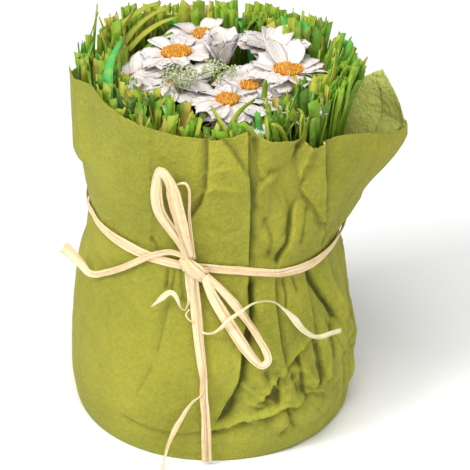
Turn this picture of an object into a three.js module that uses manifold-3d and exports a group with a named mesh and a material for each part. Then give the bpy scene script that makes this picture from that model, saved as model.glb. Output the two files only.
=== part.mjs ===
// A standing bunch of paper daisies in a ring of shaved-wood grass, wrapped in
// mulberry paper and tied at the waist with raffia. Millimetres, +Z up. The
// origin is the centre of the flat foot that the bunch stands on; -Y is its front.
import * as THREE from "three";
import { mergeVertices } from "three/addons/utils/BufferGeometryUtils.js";
import Module from "manifold-3d";

const wasm = await Module();
wasm.setup();

// ---- driving dimensions ----
const GAP = 0.4;
const PAPER = 0.8;
const FOOT_RADIUS = 69.5;
const WAIST_RADIUS = 63;
const WAIST_HEIGHT = 100.5;
const RIM_HEIGHT = 178;
const CORE_RADIUS = 46;
const CORE_TOP = 140;
const STEM_RADIUS = 1.2;
const STEM_DEPTH = 48;
const BORE_RADIUS = STEM_RADIUS + GAP;
const GRASS_BUNDLES = 10;
const BLADES_PER_BUNDLE = 6;
const PETAL_THICKNESS = 0.9;
const RAFFIA_BAND_WIDTH = 6;
const RAFFIA_BAND_THICKNESS = 1.4;

// Outside radius of the gathered paper at each height: [height, radius].
const WRAP_PROFILE = [
  [0, FOOT_RADIUS], [6, 71], [20, 72], [50, 72], [68, 71], [80, 68.2], [86, 64.9],
  [90, WAIST_RADIUS], [109, WAIST_RADIUS], [117, 64.3], [130, 65.6], [142, 66.6], [190, 67.6],
];

// The pointed ear where the paper's corner stands out on the right: how far it
// reaches past the round body at the rim, [degrees, reach].
const EAR_REACH = [
  [-60, 0], [-48, 2], [-35, 5], [-20, 13], [-8, 21], [-3, 27], [5, 25], [13, 20], [20, 8],
  [30, 0], [300, 0],
];
const EAR_START = 99;
const EAR_FULL = 142;

// Height of the paper's top edge round the bunch: [degrees, height].
const RIM_LINE = [
  [-90, 174.5], [-78, 177], [-60, 169], [-47, 166], [-43, 161], [-35, 164], [-20, 158],
  [-8, 151], [-3, 150.5], [5, 157], [13, 170], [20, 160], [28, 160], [40, 172], [60, 176],
  [120, 180], [180, 183], [212, 188], [223, 182], [233, 180], [252, 177], [270, 174.5],
];

// Daisies: place of the head [x, y, height of the petals], petal reach, petals.
const DAISIES = [
  { at: [-4.5, 39, 178.0], reach: 18, petals: 12, spin: 0.0 },
  { at: [-17, 11, 181.0], reach: 20, petals: 13, spin: 0.3 },
  { at: [37, -9, 181.2], reach: 18.5, petals: 12, spin: 0.1 },
  { at: [18.5, -15, 175.4], reach: 15.5, petals: 11, spin: 0.2 },
  { at: [8, -37, 179.0], reach: 18, petals: 13, spin: 0.0 },
  { at: [6.5, 16, 184.0], reach: 13, petals: 9, spin: 0.4 },
  { at: [31, 30, 175.0], reach: 15, petals: 11, spin: 0.1 },
  { at: [-38, -1, 175.8], reach: 18, petals: 12, spin: 0.2 },
  { at: [37.5, -26, 172.4], reach: 12.5, petals: 11, spin: 0.3 },
  { at: [16.5, -41.5, 170.0], reach: 12.5, petals: 10, spin: 0.5 },
  { at: [-22, 1, 169.8], reach: 17, petals: 12, spin: 0.1 },
];
const CENTRE_RADIUS = 8.5;
const CENTRE_HEIGHT = 4.4;
const PETAL_HUB = 7.5;
const PETAL_WIDTH_SHARE = 0.74;

// Filler sprigs: place of the head [x, y, underside height], head radius.
const FILLERS = [
  { at: [-16, -17, 185.4], radius: 9 },
  { at: [2, -9, 185.4], radius: 6.5 },
];

// Raffia routes over the front of the wrap: [x, height, clearance from the paper].
const UPPER_LOOP = [
  [-10.5, 109.8, 5.2], [-12, 120.5, 5], [-16, 132, 6], [-22, 143, 6.5], [-26.5, 151.5, 6.5],
  [-27, 158, 6.5], [-21.7, 161.5, 7], [-15.7, 158.5, 8], [-13, 151, 8], [-11.2, 139, 7.5],
  [-9.2, 125, 7], [-6, 110.8, 6.2],
];
const SMALL_LOOP = [
  [-8.5, 109.6, 2], [-11, 123.5, 2.1], [-14, 138, 2.2], [-16.3, 149.5, 2.4], [-14.5, 154.5, 2.6],
  [-11, 152, 2.4], [-8.6, 141.5, 2.2], [-6.4, 127, 2.1], [-4, 109.6, 2.1],
];
const LOWER_LOOP = [
  [-2.4, 98.6, 5.6], [7, 84, 5.8], [14.5, 72.5, 6.6], [21.5, 62.5, 7.5], [26, 57, 8],
  [29, 58.5, 7.6], [28.4, 63, 7], [24.3, 70.5, 6.2], [17.2, 81.5, 5.6], [9.6, 91.5, 5.4],
  [0, 102, 5.6],
];
const LEFT_TAIL = [
  [-12.6, 108.2, 5.4], [-19, 112, 4.8], [-26, 110, 4.8], [-34, 104, 4.8], [-42, 97.2, 4.9],
  [-51, 91, 5], [-58, 87, 5.5], [-62.6, 86, 6], [-66.8, 86.8, 7], [-70.8, 86.2, 8],
  [-74.5, 83, 9.5],
];
const LONG_TAIL = [
  [-7.4, 98.8, 5.2], [-6.8, 90, 3.6], [-5.7, 80, 2.8], [-4.8, 66, 2.5], [-4.3, 52, 2.4],
  [-4.2, 38, 2.4], [-3.8, 24, 2.5], [-3, 12, 3], [-2.5, 2.2, 4.5],
];
const THIN_TAIL = [
  [-7.6, 41, 3], [-10.5, 34, 3.4], [-14, 27, 3.6], [-17, 20, 3.8], [-20, 12, 4.2],
  [-22.6, 5, 6], [-24, 1.6, 10], [-25, 1.4, 16],
];
const RIGHT_CURL = [
  [-3.8, 98.4, 9.5], [-2.4, 90, 8.6], [-3, 82, 8.2], [-2, 77.6, 8.4], [3.5, 77.6, 9.4],
  [9.4, 81, 10], [15.3, 86, 10], [24, 88, 9.2], [32, 86, 8], [37.5, 80.5, 7.5],
  [43.4, 72, 7], [48.4, 65.8, 7], [55, 60.8, 6.5], [64.5, 55, 6],
];
const LEFT_CURL = [
  [-10.9, 99.4, 6.2], [-11, 91, 4.6], [-12.2, 86, 5], [-15.4, 84.6, 6], [-18.2, 88, 6.2],
  [-20.6, 91.6, 5.6], [-24.2, 90.4, 5], [-28.4, 85.8, 5],
];

// ---- helpers ----

// Straight-line reading of a table of [key, value] rows.
function lookUp(table, key) {
  const last = table.length - 1;
  if (key <= table[0][0]) {
    return table[0][1];
  }
  for (let i = 0; i < last; i += 1) {
    const [k0, v0] = table[i];
    const [k1, v1] = table[i + 1];
    if (key <= k1) {
      return v0 + ((v1 - v0) * (key - k0)) / (k1 - k0);
    }
  }
  return table[last][1];
}

// An angle in degrees, brought into -90 .. 270, where every table starts.
function tableAngle(degrees) {
  return degrees > 270 ? degrees - 360 : degrees;
}

function wrapRadius(degrees, height) {
  const lift = THREE.MathUtils.clamp((height - EAR_START) / (EAR_FULL - EAR_START), 0, 1);
  return lookUp(WRAP_PROFILE, height) + lift * lookUp(EAR_REACH, tableAngle(degrees));
}

function meshFromArrays(positions, indices) {
  const geometry = new THREE.BufferGeometry();
  geometry.setAttribute("position", new THREE.Float32BufferAttribute(positions, 3));
  geometry.setIndex(indices);
  geometry.computeVertexNormals();
  return geometry;
}

function weld(geometry) {
  const bare = geometry.clone();
  bare.deleteAttribute("normal");
  bare.deleteAttribute("uv");
  return mergeVertices(bare, 1e-4);
}

function toSolid(geometry) {
  const welded = weld(geometry);
  return new wasm.Manifold(new wasm.Mesh({
    numProp: 3,
    vertProperties: new Float32Array(welded.attributes.position.array),
    triVerts: new Uint32Array(welded.index.array),
  }));
}

function fromSolid(solid) {
  const mesh = solid.getMesh();
  const geometry = new THREE.BufferGeometry();
  geometry.setAttribute("position", new THREE.BufferAttribute(mesh.vertProperties, 3));
  geometry.setIndex(new THREE.BufferAttribute(mesh.triVerts, 1));
  geometry.computeVertexNormals();
  return geometry;
}

function verticalRod(x, y, bottom, top, radius, sides) {
  const rod = new THREE.CylinderGeometry(radius, radius, top - bottom, sides);
  rod.rotateX(Math.PI / 2);
  rod.translate(x, y, (top + bottom) / 2);
  return rod;
}

// ---- materials ----
const paperMaterial = new THREE.MeshStandardMaterial({
  color: 0xa7a43e, roughness: 0.95, metalness: 0, side: THREE.DoubleSide,
});
const raffiaMaterial = new THREE.MeshStandardMaterial({ color: 0xe8d29c, roughness: 0.7, metalness: 0 });
const petalMaterial = new THREE.MeshStandardMaterial({ color: 0xf6efe2, roughness: 0.85, metalness: 0 });
const centreMaterial = new THREE.MeshStandardMaterial({ color: 0xd59b36, roughness: 0.9, metalness: 0 });
const stemMaterial = new THREE.MeshStandardMaterial({ color: 0x6f7a3a, roughness: 0.85, metalness: 0 });
const foamMaterial = new THREE.MeshStandardMaterial({ color: 0x4a3f33, roughness: 1, metalness: 0 });
const grassMaterials = [0x82a02c, 0x9aa63c, 0x6f8c2a].map(
  (color) => new THREE.MeshStandardMaterial({ color, roughness: 0.85, metalness: 0 }),
);
const fillerMaterial = new THREE.MeshStandardMaterial({ color: 0xbdc38f, roughness: 0.9, metalness: 0 });

const bunch = new THREE.Group();

function addPiece(name, geometry, material) {
  const piece = new THREE.Mesh(geometry, material);
  piece.name = name;
  bunch.add(piece);
  return piece;
}

// ---- paper wrap: an open cup folded flat under the foot ----
const WRAP_COLUMNS = 72;
const WRAP_HEIGHTS = [0, 6, 20, 50, 68, 80, 86, 90, EAR_START, 109, 117, 130, EAR_FULL];

function wrapGeometry() {
  const positions = [];
  const indices = [];
  const rows = WRAP_HEIGHTS.length + 1;
  const addWall = (inset, floorHeight) => {
    for (let row = 0; row < rows; row += 1) {
      for (let column = 0; column < WRAP_COLUMNS; column += 1) {
        const degrees = -90 + (column * 360) / WRAP_COLUMNS;
        const angle = THREE.MathUtils.degToRad(degrees);
        const isRim = row === rows - 1;
        const height = isRim ? lookUp(RIM_LINE, degrees) : Math.max(WRAP_HEIGHTS[row], floorHeight);
        const radius = wrapRadius(degrees, height) - inset;
        positions.push(radius * Math.cos(angle), radius * Math.sin(angle), height);
      }
    }
  };
  addWall(0, 0);
  addWall(PAPER, PAPER);
  const outerCentre = positions.length / 3;
  positions.push(0, 0, 0);
  positions.push(0, 0, PAPER);
  const outer = (row, column) => row * WRAP_COLUMNS + (column % WRAP_COLUMNS);
  const inner = (row, column) => (rows + row) * WRAP_COLUMNS + (column % WRAP_COLUMNS);
  for (let column = 0; column < WRAP_COLUMNS; column += 1) {
    const next = column + 1;
    for (let row = 0; row < rows - 1; row += 1) {
      indices.push(outer(row, column), outer(row, next), outer(row + 1, next));
      indices.push(outer(row, column), outer(row + 1, next), outer(row + 1, column));
      indices.push(inner(row, column), inner(row + 1, next), inner(row, next));
      indices.push(inner(row, column), inner(row + 1, column), inner(row + 1, next));
    }
    indices.push(outer(rows - 1, column), outer(rows - 1, next), inner(rows - 1, next));
    indices.push(outer(rows - 1, column), inner(rows - 1, next), inner(rows - 1, column));
    indices.push(outerCentre, outer(0, next), outer(0, column));
    indices.push(outerCentre + 1, inner(0, column), inner(0, next));
  }
  return meshFromArrays(positions, indices);
}
addPiece("paper_wrap", wrapGeometry(), paperMaterial);

// ---- foam core with a bore for every stem ----
const CORE_BOTTOM = PAPER + GAP;
const stemPlaces = [...DAISIES, ...FILLERS].map((flower) => flower.at);
let core = toSolid(verticalRod(0, 0, CORE_BOTTOM, CORE_TOP, CORE_RADIUS, 40));
for (const [x, y] of stemPlaces) {
  const bore = verticalRod(x, y, CORE_TOP - STEM_DEPTH - GAP, CORE_TOP + 5, BORE_RADIUS, 8);
  core = core.subtract(toSolid(bore));
}
addPiece("foam_core", fromSolid(core), foamMaterial);

// ---- grass: a ring of bundles, each a fan of flat blades with stepped tips ----
const GRASS_INNER_FOOT = 48;
const GRASS_INNER_TOP = 58.6;
const GRASS_OUTER_FOOT = 55;
const GRASS_OUTER_TOP = 64;
const GRASS_TOP_LINE = [
  [-90, 184], [-45, 182], [0, 184], [30, 188], [60, 190], [90, 188], [120, 190], [150, 196],
  [170, 202], [200, 196], [225, 186], [270, 184],
];
const BLADE_STEP = 6;
const BUNDLE_SWEEP = 360 / GRASS_BUNDLES;
const BUNDLE_GAP_DEGREES = 0.5;

function grassGeometry(bundle) {
  const start = -90 + bundle * BUNDLE_SWEEP + BUNDLE_GAP_DEGREES / 2;
  const bladeSweep = (BUNDLE_SWEEP - BUNDLE_GAP_DEGREES) / BLADES_PER_BUNDLE;
  const foot = PAPER + GAP;
  const outline = new THREE.Shape();
  outline.moveTo(start, foot);
  for (let blade = 1; blade <= BLADES_PER_BUNDLE; blade += 1) {
    outline.lineTo(start + blade * bladeSweep, foot);
  }
  for (let blade = BLADES_PER_BUNDLE - 1; blade >= 0; blade -= 1) {
    const left = start + blade * bladeSweep;
    const top = lookUp(GRASS_TOP_LINE, left);
    const cut = ((bundle * 5 + blade * 3) % 4) * (BLADE_STEP / 3);
    outline.lineTo(left + bladeSweep, top - cut);
    outline.lineTo(left, top - cut - 1);
  }
  const geometry = new THREE.ExtrudeGeometry(outline, { depth: 1, bevelEnabled: false, steps: 1 });
  const position = geometry.attributes.position;
  for (let i = 0; i < position.count; i += 1) {
    const angle = THREE.MathUtils.degToRad(position.getX(i));
    const height = position.getY(i);
    const across = position.getZ(i);
    const rise = (height - foot) / (RIM_HEIGHT - foot);
    const innerRadius = GRASS_INNER_FOOT + rise * (GRASS_INNER_TOP - GRASS_INNER_FOOT);
    const outerRadius = GRASS_OUTER_FOOT + rise * (GRASS_OUTER_TOP - GRASS_OUTER_FOOT);
    const radius = innerRadius + across * (outerRadius - innerRadius);
    position.setXYZ(i, radius * Math.cos(angle), radius * Math.sin(angle), height);
  }
  geometry.computeVertexNormals();
  return geometry;
}

for (let bundle = 0; bundle < GRASS_BUNDLES; bundle += 1) {
  const material = grassMaterials[bundle % grassMaterials.length];
  addPiece(`grass_bundle_${bundle + 1}`, grassGeometry(bundle), material);
}

// ---- daisies: a ring of petals, a tufted centre and a stem each ----
function petalRing(reach, petals) {
  const outline = new THREE.Shape();
  const pitch = (2 * Math.PI) / petals;
  const half = (pitch * PETAL_WIDTH_SHARE) / 2;
  const corner = (radius, angle) => [radius * Math.cos(angle), radius * Math.sin(angle)];
  for (let petal = 0; petal < petals; petal += 1) {
    const middle = petal * pitch;
    if (petal === 0) {
      outline.moveTo(...corner(PETAL_HUB, middle - pitch / 2));
    } else {
      outline.lineTo(...corner(PETAL_HUB, middle - pitch / 2));
    }
    outline.lineTo(...corner(reach * 0.72, middle - half));
    outline.lineTo(...corner(reach, middle - half * 0.4));
    outline.lineTo(...corner(reach, middle + half * 0.4));
    outline.lineTo(...corner(reach * 0.72, middle + half));
  }
  outline.closePath();
  return new THREE.ExtrudeGeometry(outline, {
    depth: PETAL_THICKNESS, bevelEnabled: false, steps: 1,
  });
}

function tuftedCentre(radius, height) {
  const profile = [
    [0, 0], [radius * 0.9, 0], [radius, height * 0.35], [radius * 0.8, height * 0.8], [0, height],
  ].map(([r, z]) => new THREE.Vector2(r, z));
  const geometry = new THREE.LatheGeometry(profile, 12);
  geometry.rotateX(Math.PI / 2);
  return geometry;
}

DAISIES.forEach(({ at, reach, petals, spin }, index) => {
  const [x, y, z] = at;
  const name = `daisy_${index + 1}`;
  let ring = petalRing(reach, petals);
  ring.rotateZ(spin);
  ring.translate(x, y, z);
  // A neighbour's stem that passes between the petals keeps its own small gap.
  let solid = toSolid(ring);
  for (const [stemX, stemY] of stemPlaces.filter((place) => place !== at)) {
    if (Math.hypot(stemX - x, stemY - y) < reach + BORE_RADIUS) {
      solid = solid.subtract(toSolid(verticalRod(stemX, stemY, z - 5, z + 5, BORE_RADIUS, 8)));
    }
  }
  addPiece(`${name}_petals`, fromSolid(solid), petalMaterial);
  const centre = tuftedCentre(Math.min(CENTRE_RADIUS, reach * 0.45), CENTRE_HEIGHT);
  addPiece(`${name}_centre`, centre, centreMaterial).position.set(x, y, z + PETAL_THICKNESS + GAP);
  const stem = verticalRod(0, 0, CORE_TOP - STEM_DEPTH, z - GAP, STEM_RADIUS, 8);
  addPiece(`${name}_stem`, stem, stemMaterial).position.set(x, y, 0);
});

// ---- filler sprigs: a flat cluster of buds on one fine stem ----
FILLERS.forEach(({ at, radius }, index) => {
  const [x, y, z] = at;
  const foot = CORE_TOP - STEM_DEPTH;
  const profile = [
    [0, foot], [STEM_RADIUS, foot], [STEM_RADIUS, z - 1], [radius * 0.7, z],
    [radius, z + 2.5], [radius * 0.7, z + 5.5], [0, z + 6.5],
  ].map(([r, height]) => new THREE.Vector2(r, height));
  const geometry = new THREE.LatheGeometry(profile, 10);
  geometry.rotateX(Math.PI / 2);
  addPiece(`filler_sprig_${index + 1}`, geometry, fillerMaterial).position.set(x, y, 0);
});

// ---- raffia tie ----
const BAND_TILT_FORWARD = 0.06;
const BAND_TILT_RIGHT = 0.075;
const BAND_CLEARANCE = 1.2;
const bandInner = WAIST_RADIUS + BAND_CLEARANCE;
const bandOuter = bandInner + RAFFIA_BAND_THICKNESS;

function bandGeometry() {
  const half = RAFFIA_BAND_WIDTH / 2;
  const profile = [
    [bandInner, -half], [bandOuter, -half + 0.8], [bandOuter, half - 0.8], [bandInner, half],
    [bandInner, -half],
  ].map(([r, z]) => new THREE.Vector2(r, z));
  const geometry = new THREE.LatheGeometry(profile, 72);
  geometry.rotateX(Math.PI / 2);
  return geometry;
}
const band = addPiece("raffia_band", bandGeometry(), raffiaMaterial);
band.position.set(0, 0, WAIST_HEIGHT);
band.rotation.set(-BAND_TILT_FORWARD, BAND_TILT_RIGHT, 0);

const KNOT_HALF = [5.5, 3.2, 5];
const KNOT_X = -6.5;
const KNOT_HEIGHT = 104.8;
const knotGeometry = new THREE.SphereGeometry(1, 14, 9);
knotGeometry.scale(...KNOT_HALF);
const knot = addPiece("raffia_knot", knotGeometry, raffiaMaterial);
knot.position.set(KNOT_X, -(bandOuter + GAP + KNOT_HALF[1]), KNOT_HEIGHT);

// A place in front of the paper, from [x, height, clearance].
function beforeWrap([x, height, clearance]) {
  const radius = lookUp(WRAP_PROFILE, height) + clearance;
  return new THREE.Vector3(x, -Math.sqrt(radius * radius - x * x), height);
}

function strandGeometry(route, diameter, steps) {
  const curve = new THREE.CatmullRomCurve3(route.map(beforeWrap), false, "centripetal");
  const section = new THREE.Shape();
  const SIDES = 8;
  for (let side = 0; side < SIDES; side += 1) {
    const angle = (side * 2 * Math.PI) / SIDES;
    const point = [(diameter / 2) * Math.cos(angle), (diameter / 2) * Math.sin(angle)];
    if (side === 0) {
      section.moveTo(...point);
    } else {
      section.lineTo(...point);
    }
  }
  section.closePath();
  return new THREE.ExtrudeGeometry(section, { steps, extrudePath: curve, bevelEnabled: false });
}

const STRANDS = [
  ["raffia_upper_loop", UPPER_LOOP, 3, 13],
  ["raffia_small_loop", SMALL_LOOP, 2.2, 11],
  ["raffia_lower_loop", LOWER_LOOP, 3, 12],
  ["raffia_left_tail", LEFT_TAIL, 3, 10],
  ["raffia_long_tail", LONG_TAIL, 3, 8],
  ["raffia_thin_tail", THIN_TAIL, 2, 8],
  ["raffia_right_curl", RIGHT_CURL, 2.6, 14],
  ["raffia_left_curl", LEFT_CURL, 2.6, 8],
];
for (const [name, route, diameter, steps] of STRANDS) {
  addPiece(name, strandGeometry(route, diameter, steps), raffiaMaterial);
}

export default bunch;
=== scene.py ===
import math
import random

import bpy
import numpy as np
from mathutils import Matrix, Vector


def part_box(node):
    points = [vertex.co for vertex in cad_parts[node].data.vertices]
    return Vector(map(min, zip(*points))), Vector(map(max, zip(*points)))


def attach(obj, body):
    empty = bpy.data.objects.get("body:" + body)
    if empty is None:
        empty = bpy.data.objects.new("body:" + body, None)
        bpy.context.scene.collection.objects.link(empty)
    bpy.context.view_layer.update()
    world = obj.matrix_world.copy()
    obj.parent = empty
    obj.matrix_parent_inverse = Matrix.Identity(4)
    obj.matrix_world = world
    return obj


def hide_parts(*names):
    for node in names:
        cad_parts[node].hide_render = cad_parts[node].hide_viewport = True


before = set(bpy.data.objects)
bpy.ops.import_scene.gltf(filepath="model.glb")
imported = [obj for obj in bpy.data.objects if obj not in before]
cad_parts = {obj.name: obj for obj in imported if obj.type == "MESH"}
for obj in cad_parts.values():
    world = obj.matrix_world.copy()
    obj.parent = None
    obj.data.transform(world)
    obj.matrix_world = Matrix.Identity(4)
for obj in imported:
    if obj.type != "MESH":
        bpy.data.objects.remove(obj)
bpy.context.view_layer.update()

# The bunch stands on its folded paper foot at z = 0, +Z up, with its bow on the
# -Y side and the pointed paper ear on the +X side. Shapes are worked out in
# millimetres and put into metres as each mesh is made. Angles round the bunch
# are degrees from the front, positive towards the ear.
MM = 0.001
SEED = 11


# ---------------------------------------------------------------- camera

CAMERA_ELEVATION = math.radians(29)
CAMERA_DISTANCE = 1.30
CAMERA_LENS = 199.0
AIM = Vector((0.0115, 0.0, 0.088))


def make_camera():
    data = bpy.data.cameras.new("camera")
    data.lens = CAMERA_LENS
    data.sensor_width = 36.0
    camera = bpy.data.objects.new("camera", data)
    bpy.context.collection.objects.link(camera)
    away = Vector((0.0, -math.cos(CAMERA_ELEVATION), math.sin(CAMERA_ELEVATION)))
    camera.location = AIM + away * CAMERA_DISTANCE
    camera.rotation_euler = (-away).to_track_quat("-Z", "Y").to_euler()
    bpy.context.scene.camera = camera


make_camera()


# ---------------------------------------------------------------- mesh tools


class Shape:
    """Points and faces gathered for one piece, with three values on every point:
    tint, and how far along and across its own strip the point lies."""

    def __init__(self):
        self.points = []
        self.faces = []
        self.tint = []
        self.along = []
        self.across = []

    def add_point(self, point, tint, along, across):
        self.points.append(tuple(point))
        self.tint.append(tint)
        self.along.append(along)
        self.across.append(across)
        return len(self.points) - 1

    def add_strip(self, sections, thickness, tint, length, width):
        """A thin closed strip. Each section is (row of points, normal)."""
        columns = len(sections[0][0])
        tops, bottoms = [], []
        for s, (row, normal) in enumerate(sections):
            along = length * s / (len(sections) - 1)
            half = Vector(normal) * (thickness / 2)
            top, bottom = [], []
            for c, point in enumerate(row):
                across = width * (c / (columns - 1) - 0.5)
                top.append(self.add_point(Vector(point) + half, tint, along, across))
                bottom.append(self.add_point(Vector(point) - half, tint, along, across))
            tops.append(top)
            bottoms.append(bottom)
        for s in range(len(sections) - 1):
            near, far = bottoms[s], bottoms[s + 1]
            for c in range(columns - 1):
                self.faces.append((tops[s][c], tops[s][c + 1], tops[s + 1][c + 1], tops[s + 1][c]))
                self.faces.append((near[c], far[c], far[c + 1], near[c + 1]))
            self.faces.append((tops[s][0], tops[s + 1][0], bottoms[s + 1][0], bottoms[s][0]))
            last = columns - 1
            self.faces.append((tops[s][last], bottoms[s][last], bottoms[s + 1][last], tops[s + 1][last]))
        for c in range(columns - 1):
            self.faces.append((tops[0][c], bottoms[0][c], bottoms[0][c + 1], tops[0][c + 1]))
            self.faces.append((tops[-1][c], tops[-1][c + 1], bottoms[-1][c + 1], bottoms[-1][c]))

    def make(self, name, material, smooth=True):
        mesh = bpy.data.meshes.new(name)
        mesh.from_pydata([tuple(Vector(p) * MM) for p in self.points], [], self.faces)
        for key in ("tint", "along", "across"):
            values = mesh.attributes.new(key, "FLOAT", "POINT")
            values.data.foreach_set("value", getattr(self, key))
        return finish_mesh(name, mesh, material, smooth)


def finish_mesh(name, mesh, material, smooth=True):
    mesh.validate()
    if smooth:
        mesh.shade_smooth()
    mesh.materials.append(material)
    piece = bpy.data.objects.new(name, mesh)
    bpy.context.collection.objects.link(piece)
    return piece


def settle(piece, slot, *nodes):
    """Every piece rides on the one body and stands for its own CAD nodes."""
    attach(piece, "root")
    if nodes:
        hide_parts(*nodes)
    return piece


def read_table(table, keys):
    rows = np.array(table, dtype=float)
    return np.interp(keys, rows[:, 0], rows[:, 1])


def smoothstep(low, high, value):
    t = np.clip((value - low) / (high - low), 0.0, 1.0)
    return t * t * (3 - 2 * t)


# ---------------------------------------------------------------- paper wrap

WRAP_PROFILE = [
    (0, 67.4), (1.2, 68.2), (6, 69.4), (14, 70.4), (20, 70.8), (40, 70.4), (57, 69.4), (68, 68.2), (76, 66.8),
    (84, 65.4), (91, 64.2), (97, 63), (104, 63), (110, 63.4), (117, 64.3), (130, 65.6),
    (142, 66.6), (190, 67.6),
]
# How the round body differs by degrees: pulled in above the tie, fuller below it.
UPPER_SHIFT = [
    (-180, -0.5), (-120, -1.6), (-90, -2.4), (-60, -1.5), (-30, -0.3), (0, 0), (90, 0.6), (180, -0.5),
]
LOWER_SHIFT = [(-180, 0), (-100, 0.8), (-60, 1.6), (-20, 3), (20, 3.5), (50, 2.5), (90, 0.5), (180, 0)]
TIE_HEIGHT = [
    (-180, 97), (-120, 106), (-90, 112), (-69, 113), (-62, 111), (-48, 109.7), (-37, 108.7),
    (-28, 107.5), (-12, 106.1), (0, 105.4), (12, 103.6), (22, 100.7), (30, 98), (41, 96.2),
    (50, 95.6), (63, 96.2), (80, 98), (120, 98), (180, 97),
]
TIE_MIDDLE = 101.0
EAR_REACH = [
    (30, 0), (42, 2), (55, 5.5), (70, 13), (82, 22), (88, 28.5), (95, 27), (103, 21), (110, 9),
    (118, 2), (124, 0),
]
EAR_START, EAR_FULL = 95.0, 146.0
RIM_LINE = [
    (-180, 178), (-150, 178), (-125, 174), (-105, 172), (-95, 176), (-88, 182), (-84, 184.5),
    (-75, 185), (-58, 187.5), (-47, 182), (-37, 180),
    (-18, 177), (0, 174.5), (9, 175.5), (14.5, 178), (16.5, 176.5), (25, 171), (35, 169),
    (39, 168.5), (43, 163), (46, 161.5), (50, 162.5), (57, 164), (62, 162.5), (70, 159),
    (80, 152.5), (87, 150.5), (95, 157), (103, 171), (110, 160), (118, 160), (130, 172),
    (150, 176), (180, 178),
]
PAPER_THICKNESS = 0.35
ROUND = math.radians(1) * 68.0


NOISE_TILE = 128


def value_noise(u, v, cell, seed):
    """Smooth noise between -1 and 1 over (u, v), with features about one cell wide."""
    table = np.random.default_rng(seed).random((NOISE_TILE, NOISE_TILE)) * 2 - 1
    x, y = u / cell + NOISE_TILE / 2 + 0.5, v / cell + NOISE_TILE / 2 + 0.5
    xi, yi = np.floor(x).astype(int), np.floor(y).astype(int)
    xf, yf = x - xi, y - yi
    xf, yf = xf * xf * (3 - 2 * xf), yf * yf * (3 - 2 * yf)
    a = table[xi % NOISE_TILE, yi % NOISE_TILE]
    b = table[(xi + 1) % NOISE_TILE, yi % NOISE_TILE]
    c = table[xi % NOISE_TILE, (yi + 1) % NOISE_TILE]
    d = table[(xi + 1) % NOISE_TILE, (yi + 1) % NOISE_TILE]
    return (a * (1 - xf) + b * xf) * (1 - yf) + (c * (1 - xf) + d * xf) * yf


def facets(u, v, cell, seed):
    """Flat three-cornered facets of random height that meet in sharp creases."""
    table = np.random.default_rng(seed).random((NOISE_TILE, NOISE_TILE)) * 2 - 1
    x = (u + value_noise(u, v, cell * 2.2, seed + 1) * cell * 0.7) / cell
    y = (v + value_noise(u, v, cell * 2.2, seed + 2) * cell * 0.7) / (cell * 0.87)
    i, j = x - 0.5 * y + NOISE_TILE / 2, y + NOISE_TILE / 2
    i0, j0 = np.floor(i).astype(int), np.floor(j).astype(int)
    fi, fj = i - i0, j - j0
    i1, j1 = (i0 + 1) % NOISE_TILE, (j0 + 1) % NOISE_TILE
    i0, j0 = i0 % NOISE_TILE, j0 % NOISE_TILE
    low = (1 - fi - fj) * table[i0, j0] + fi * table[i1, j0] + fj * table[i0, j1]
    high = (fi + fj - 1) * table[i1, j1] + (1 - fj) * table[i1, j0] + (1 - fi) * table[i0, j1]
    return np.where(fi + fj < 1, low, high)


def line_distance(u, v, line):
    """Distance to a broken line, the side (+1 is right, walking down it), and how far
    past either end the point lies."""
    best = np.full(u.shape, 1e9)
    side = np.ones_like(u)
    past = np.zeros_like(u)
    points = [(t * ROUND, z) for t, z in line]
    last = len(points) - 2
    for i in range(len(points) - 1):
        (u0, v0), (u1, v1) = points[i], points[i + 1]
        du, dv = u1 - u0, v1 - v0
        length = math.hypot(du, dv)
        free = ((u - u0) * du + (v - v0) * dv) / (length * length)
        held = np.clip(free, 0, 1)
        distance = np.hypot(u - (u0 + held * du), v - (v0 + held * dv))
        nearer = distance < best
        best = np.where(nearer, distance, best)
        cross = du * (v - v0) - dv * (u - u0)
        side = np.where(nearer, np.where(cross > 0, 1.0, -1.0), side)
        beyond = np.zeros_like(u)
        if i == 0:
            beyond = np.maximum(beyond, -free * length)
        if i == last:
            beyond = np.maximum(beyond, (free - 1) * length)
        past = np.where(nearer, beyond, past)
    return best, side, past


def ridge(u, v, line, height, width):
    distance, _, _ = line_distance(u, v, line)
    return height * np.exp(-((distance / width) ** 1.15))


def groove(u, v, line, depth, width):
    distance, _, _ = line_distance(u, v, line)
    return -depth * np.exp(-distance / width)


def lap(u, v, line, depth, reach, fade=5.0, low_side=1):
    """The paper on one side of the line lies under the paper on the other."""
    distance, side, past = line_distance(u, v, line)
    under = smoothstep(-0.6, 0.6, distance * side * low_side)
    open_end = np.exp(-((np.maximum(past, 0) / fade) ** 2))
    return -depth * under * open_end * np.exp(-distance / reach)


# Folds in the wrap, as [degrees, height] lines walked downwards.
KNIFE_PLEAT = [(15.5, 178), (16, 159), (17, 143), (17, 126), (17, 106)]
KNIFE_PLEAT_LOW = [(17, 101), (17, 87), (16.5, 77), (14, 65)]
SOFT_FOLD = [(-0.5, 176), (-0.8, 160), (-1.5, 149), (-4, 140), (-9, 131), (-13, 118)]
LONG_VALLEY = [(14, 72), (12.5, 64), (12, 57), (11, 47), (8, 38), (4, 28)]
TWISTED_EDGE = [(41, 168), (38, 162), (38, 156), (41, 140), (47, 130), (53, 118)]
TWIST_SEAM = [(50, 162), (51, 146), (53, 128), (56, 104)]
TWIST_GAP = [(41, 142), (37, 130), (36, 120), (35, 112), (32, 103)]
RIDGE_RUN = [(46, 60), (38, 55), (30, 48), (25, 44), (20, 36)]
CRUMPLED_HEM = [
    (54, 31), (48, 27), (44, 29), (40, 31), (36, 28), (33, 27), (29, 29), (26, 28), (22, 25),
    (18, 24.5), (12, 23), (7, 20), (1, 18.5),
]
DEEP_PLEAT = [(50, 93), (54, 83), (58, 73), (65, 60)]
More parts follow.
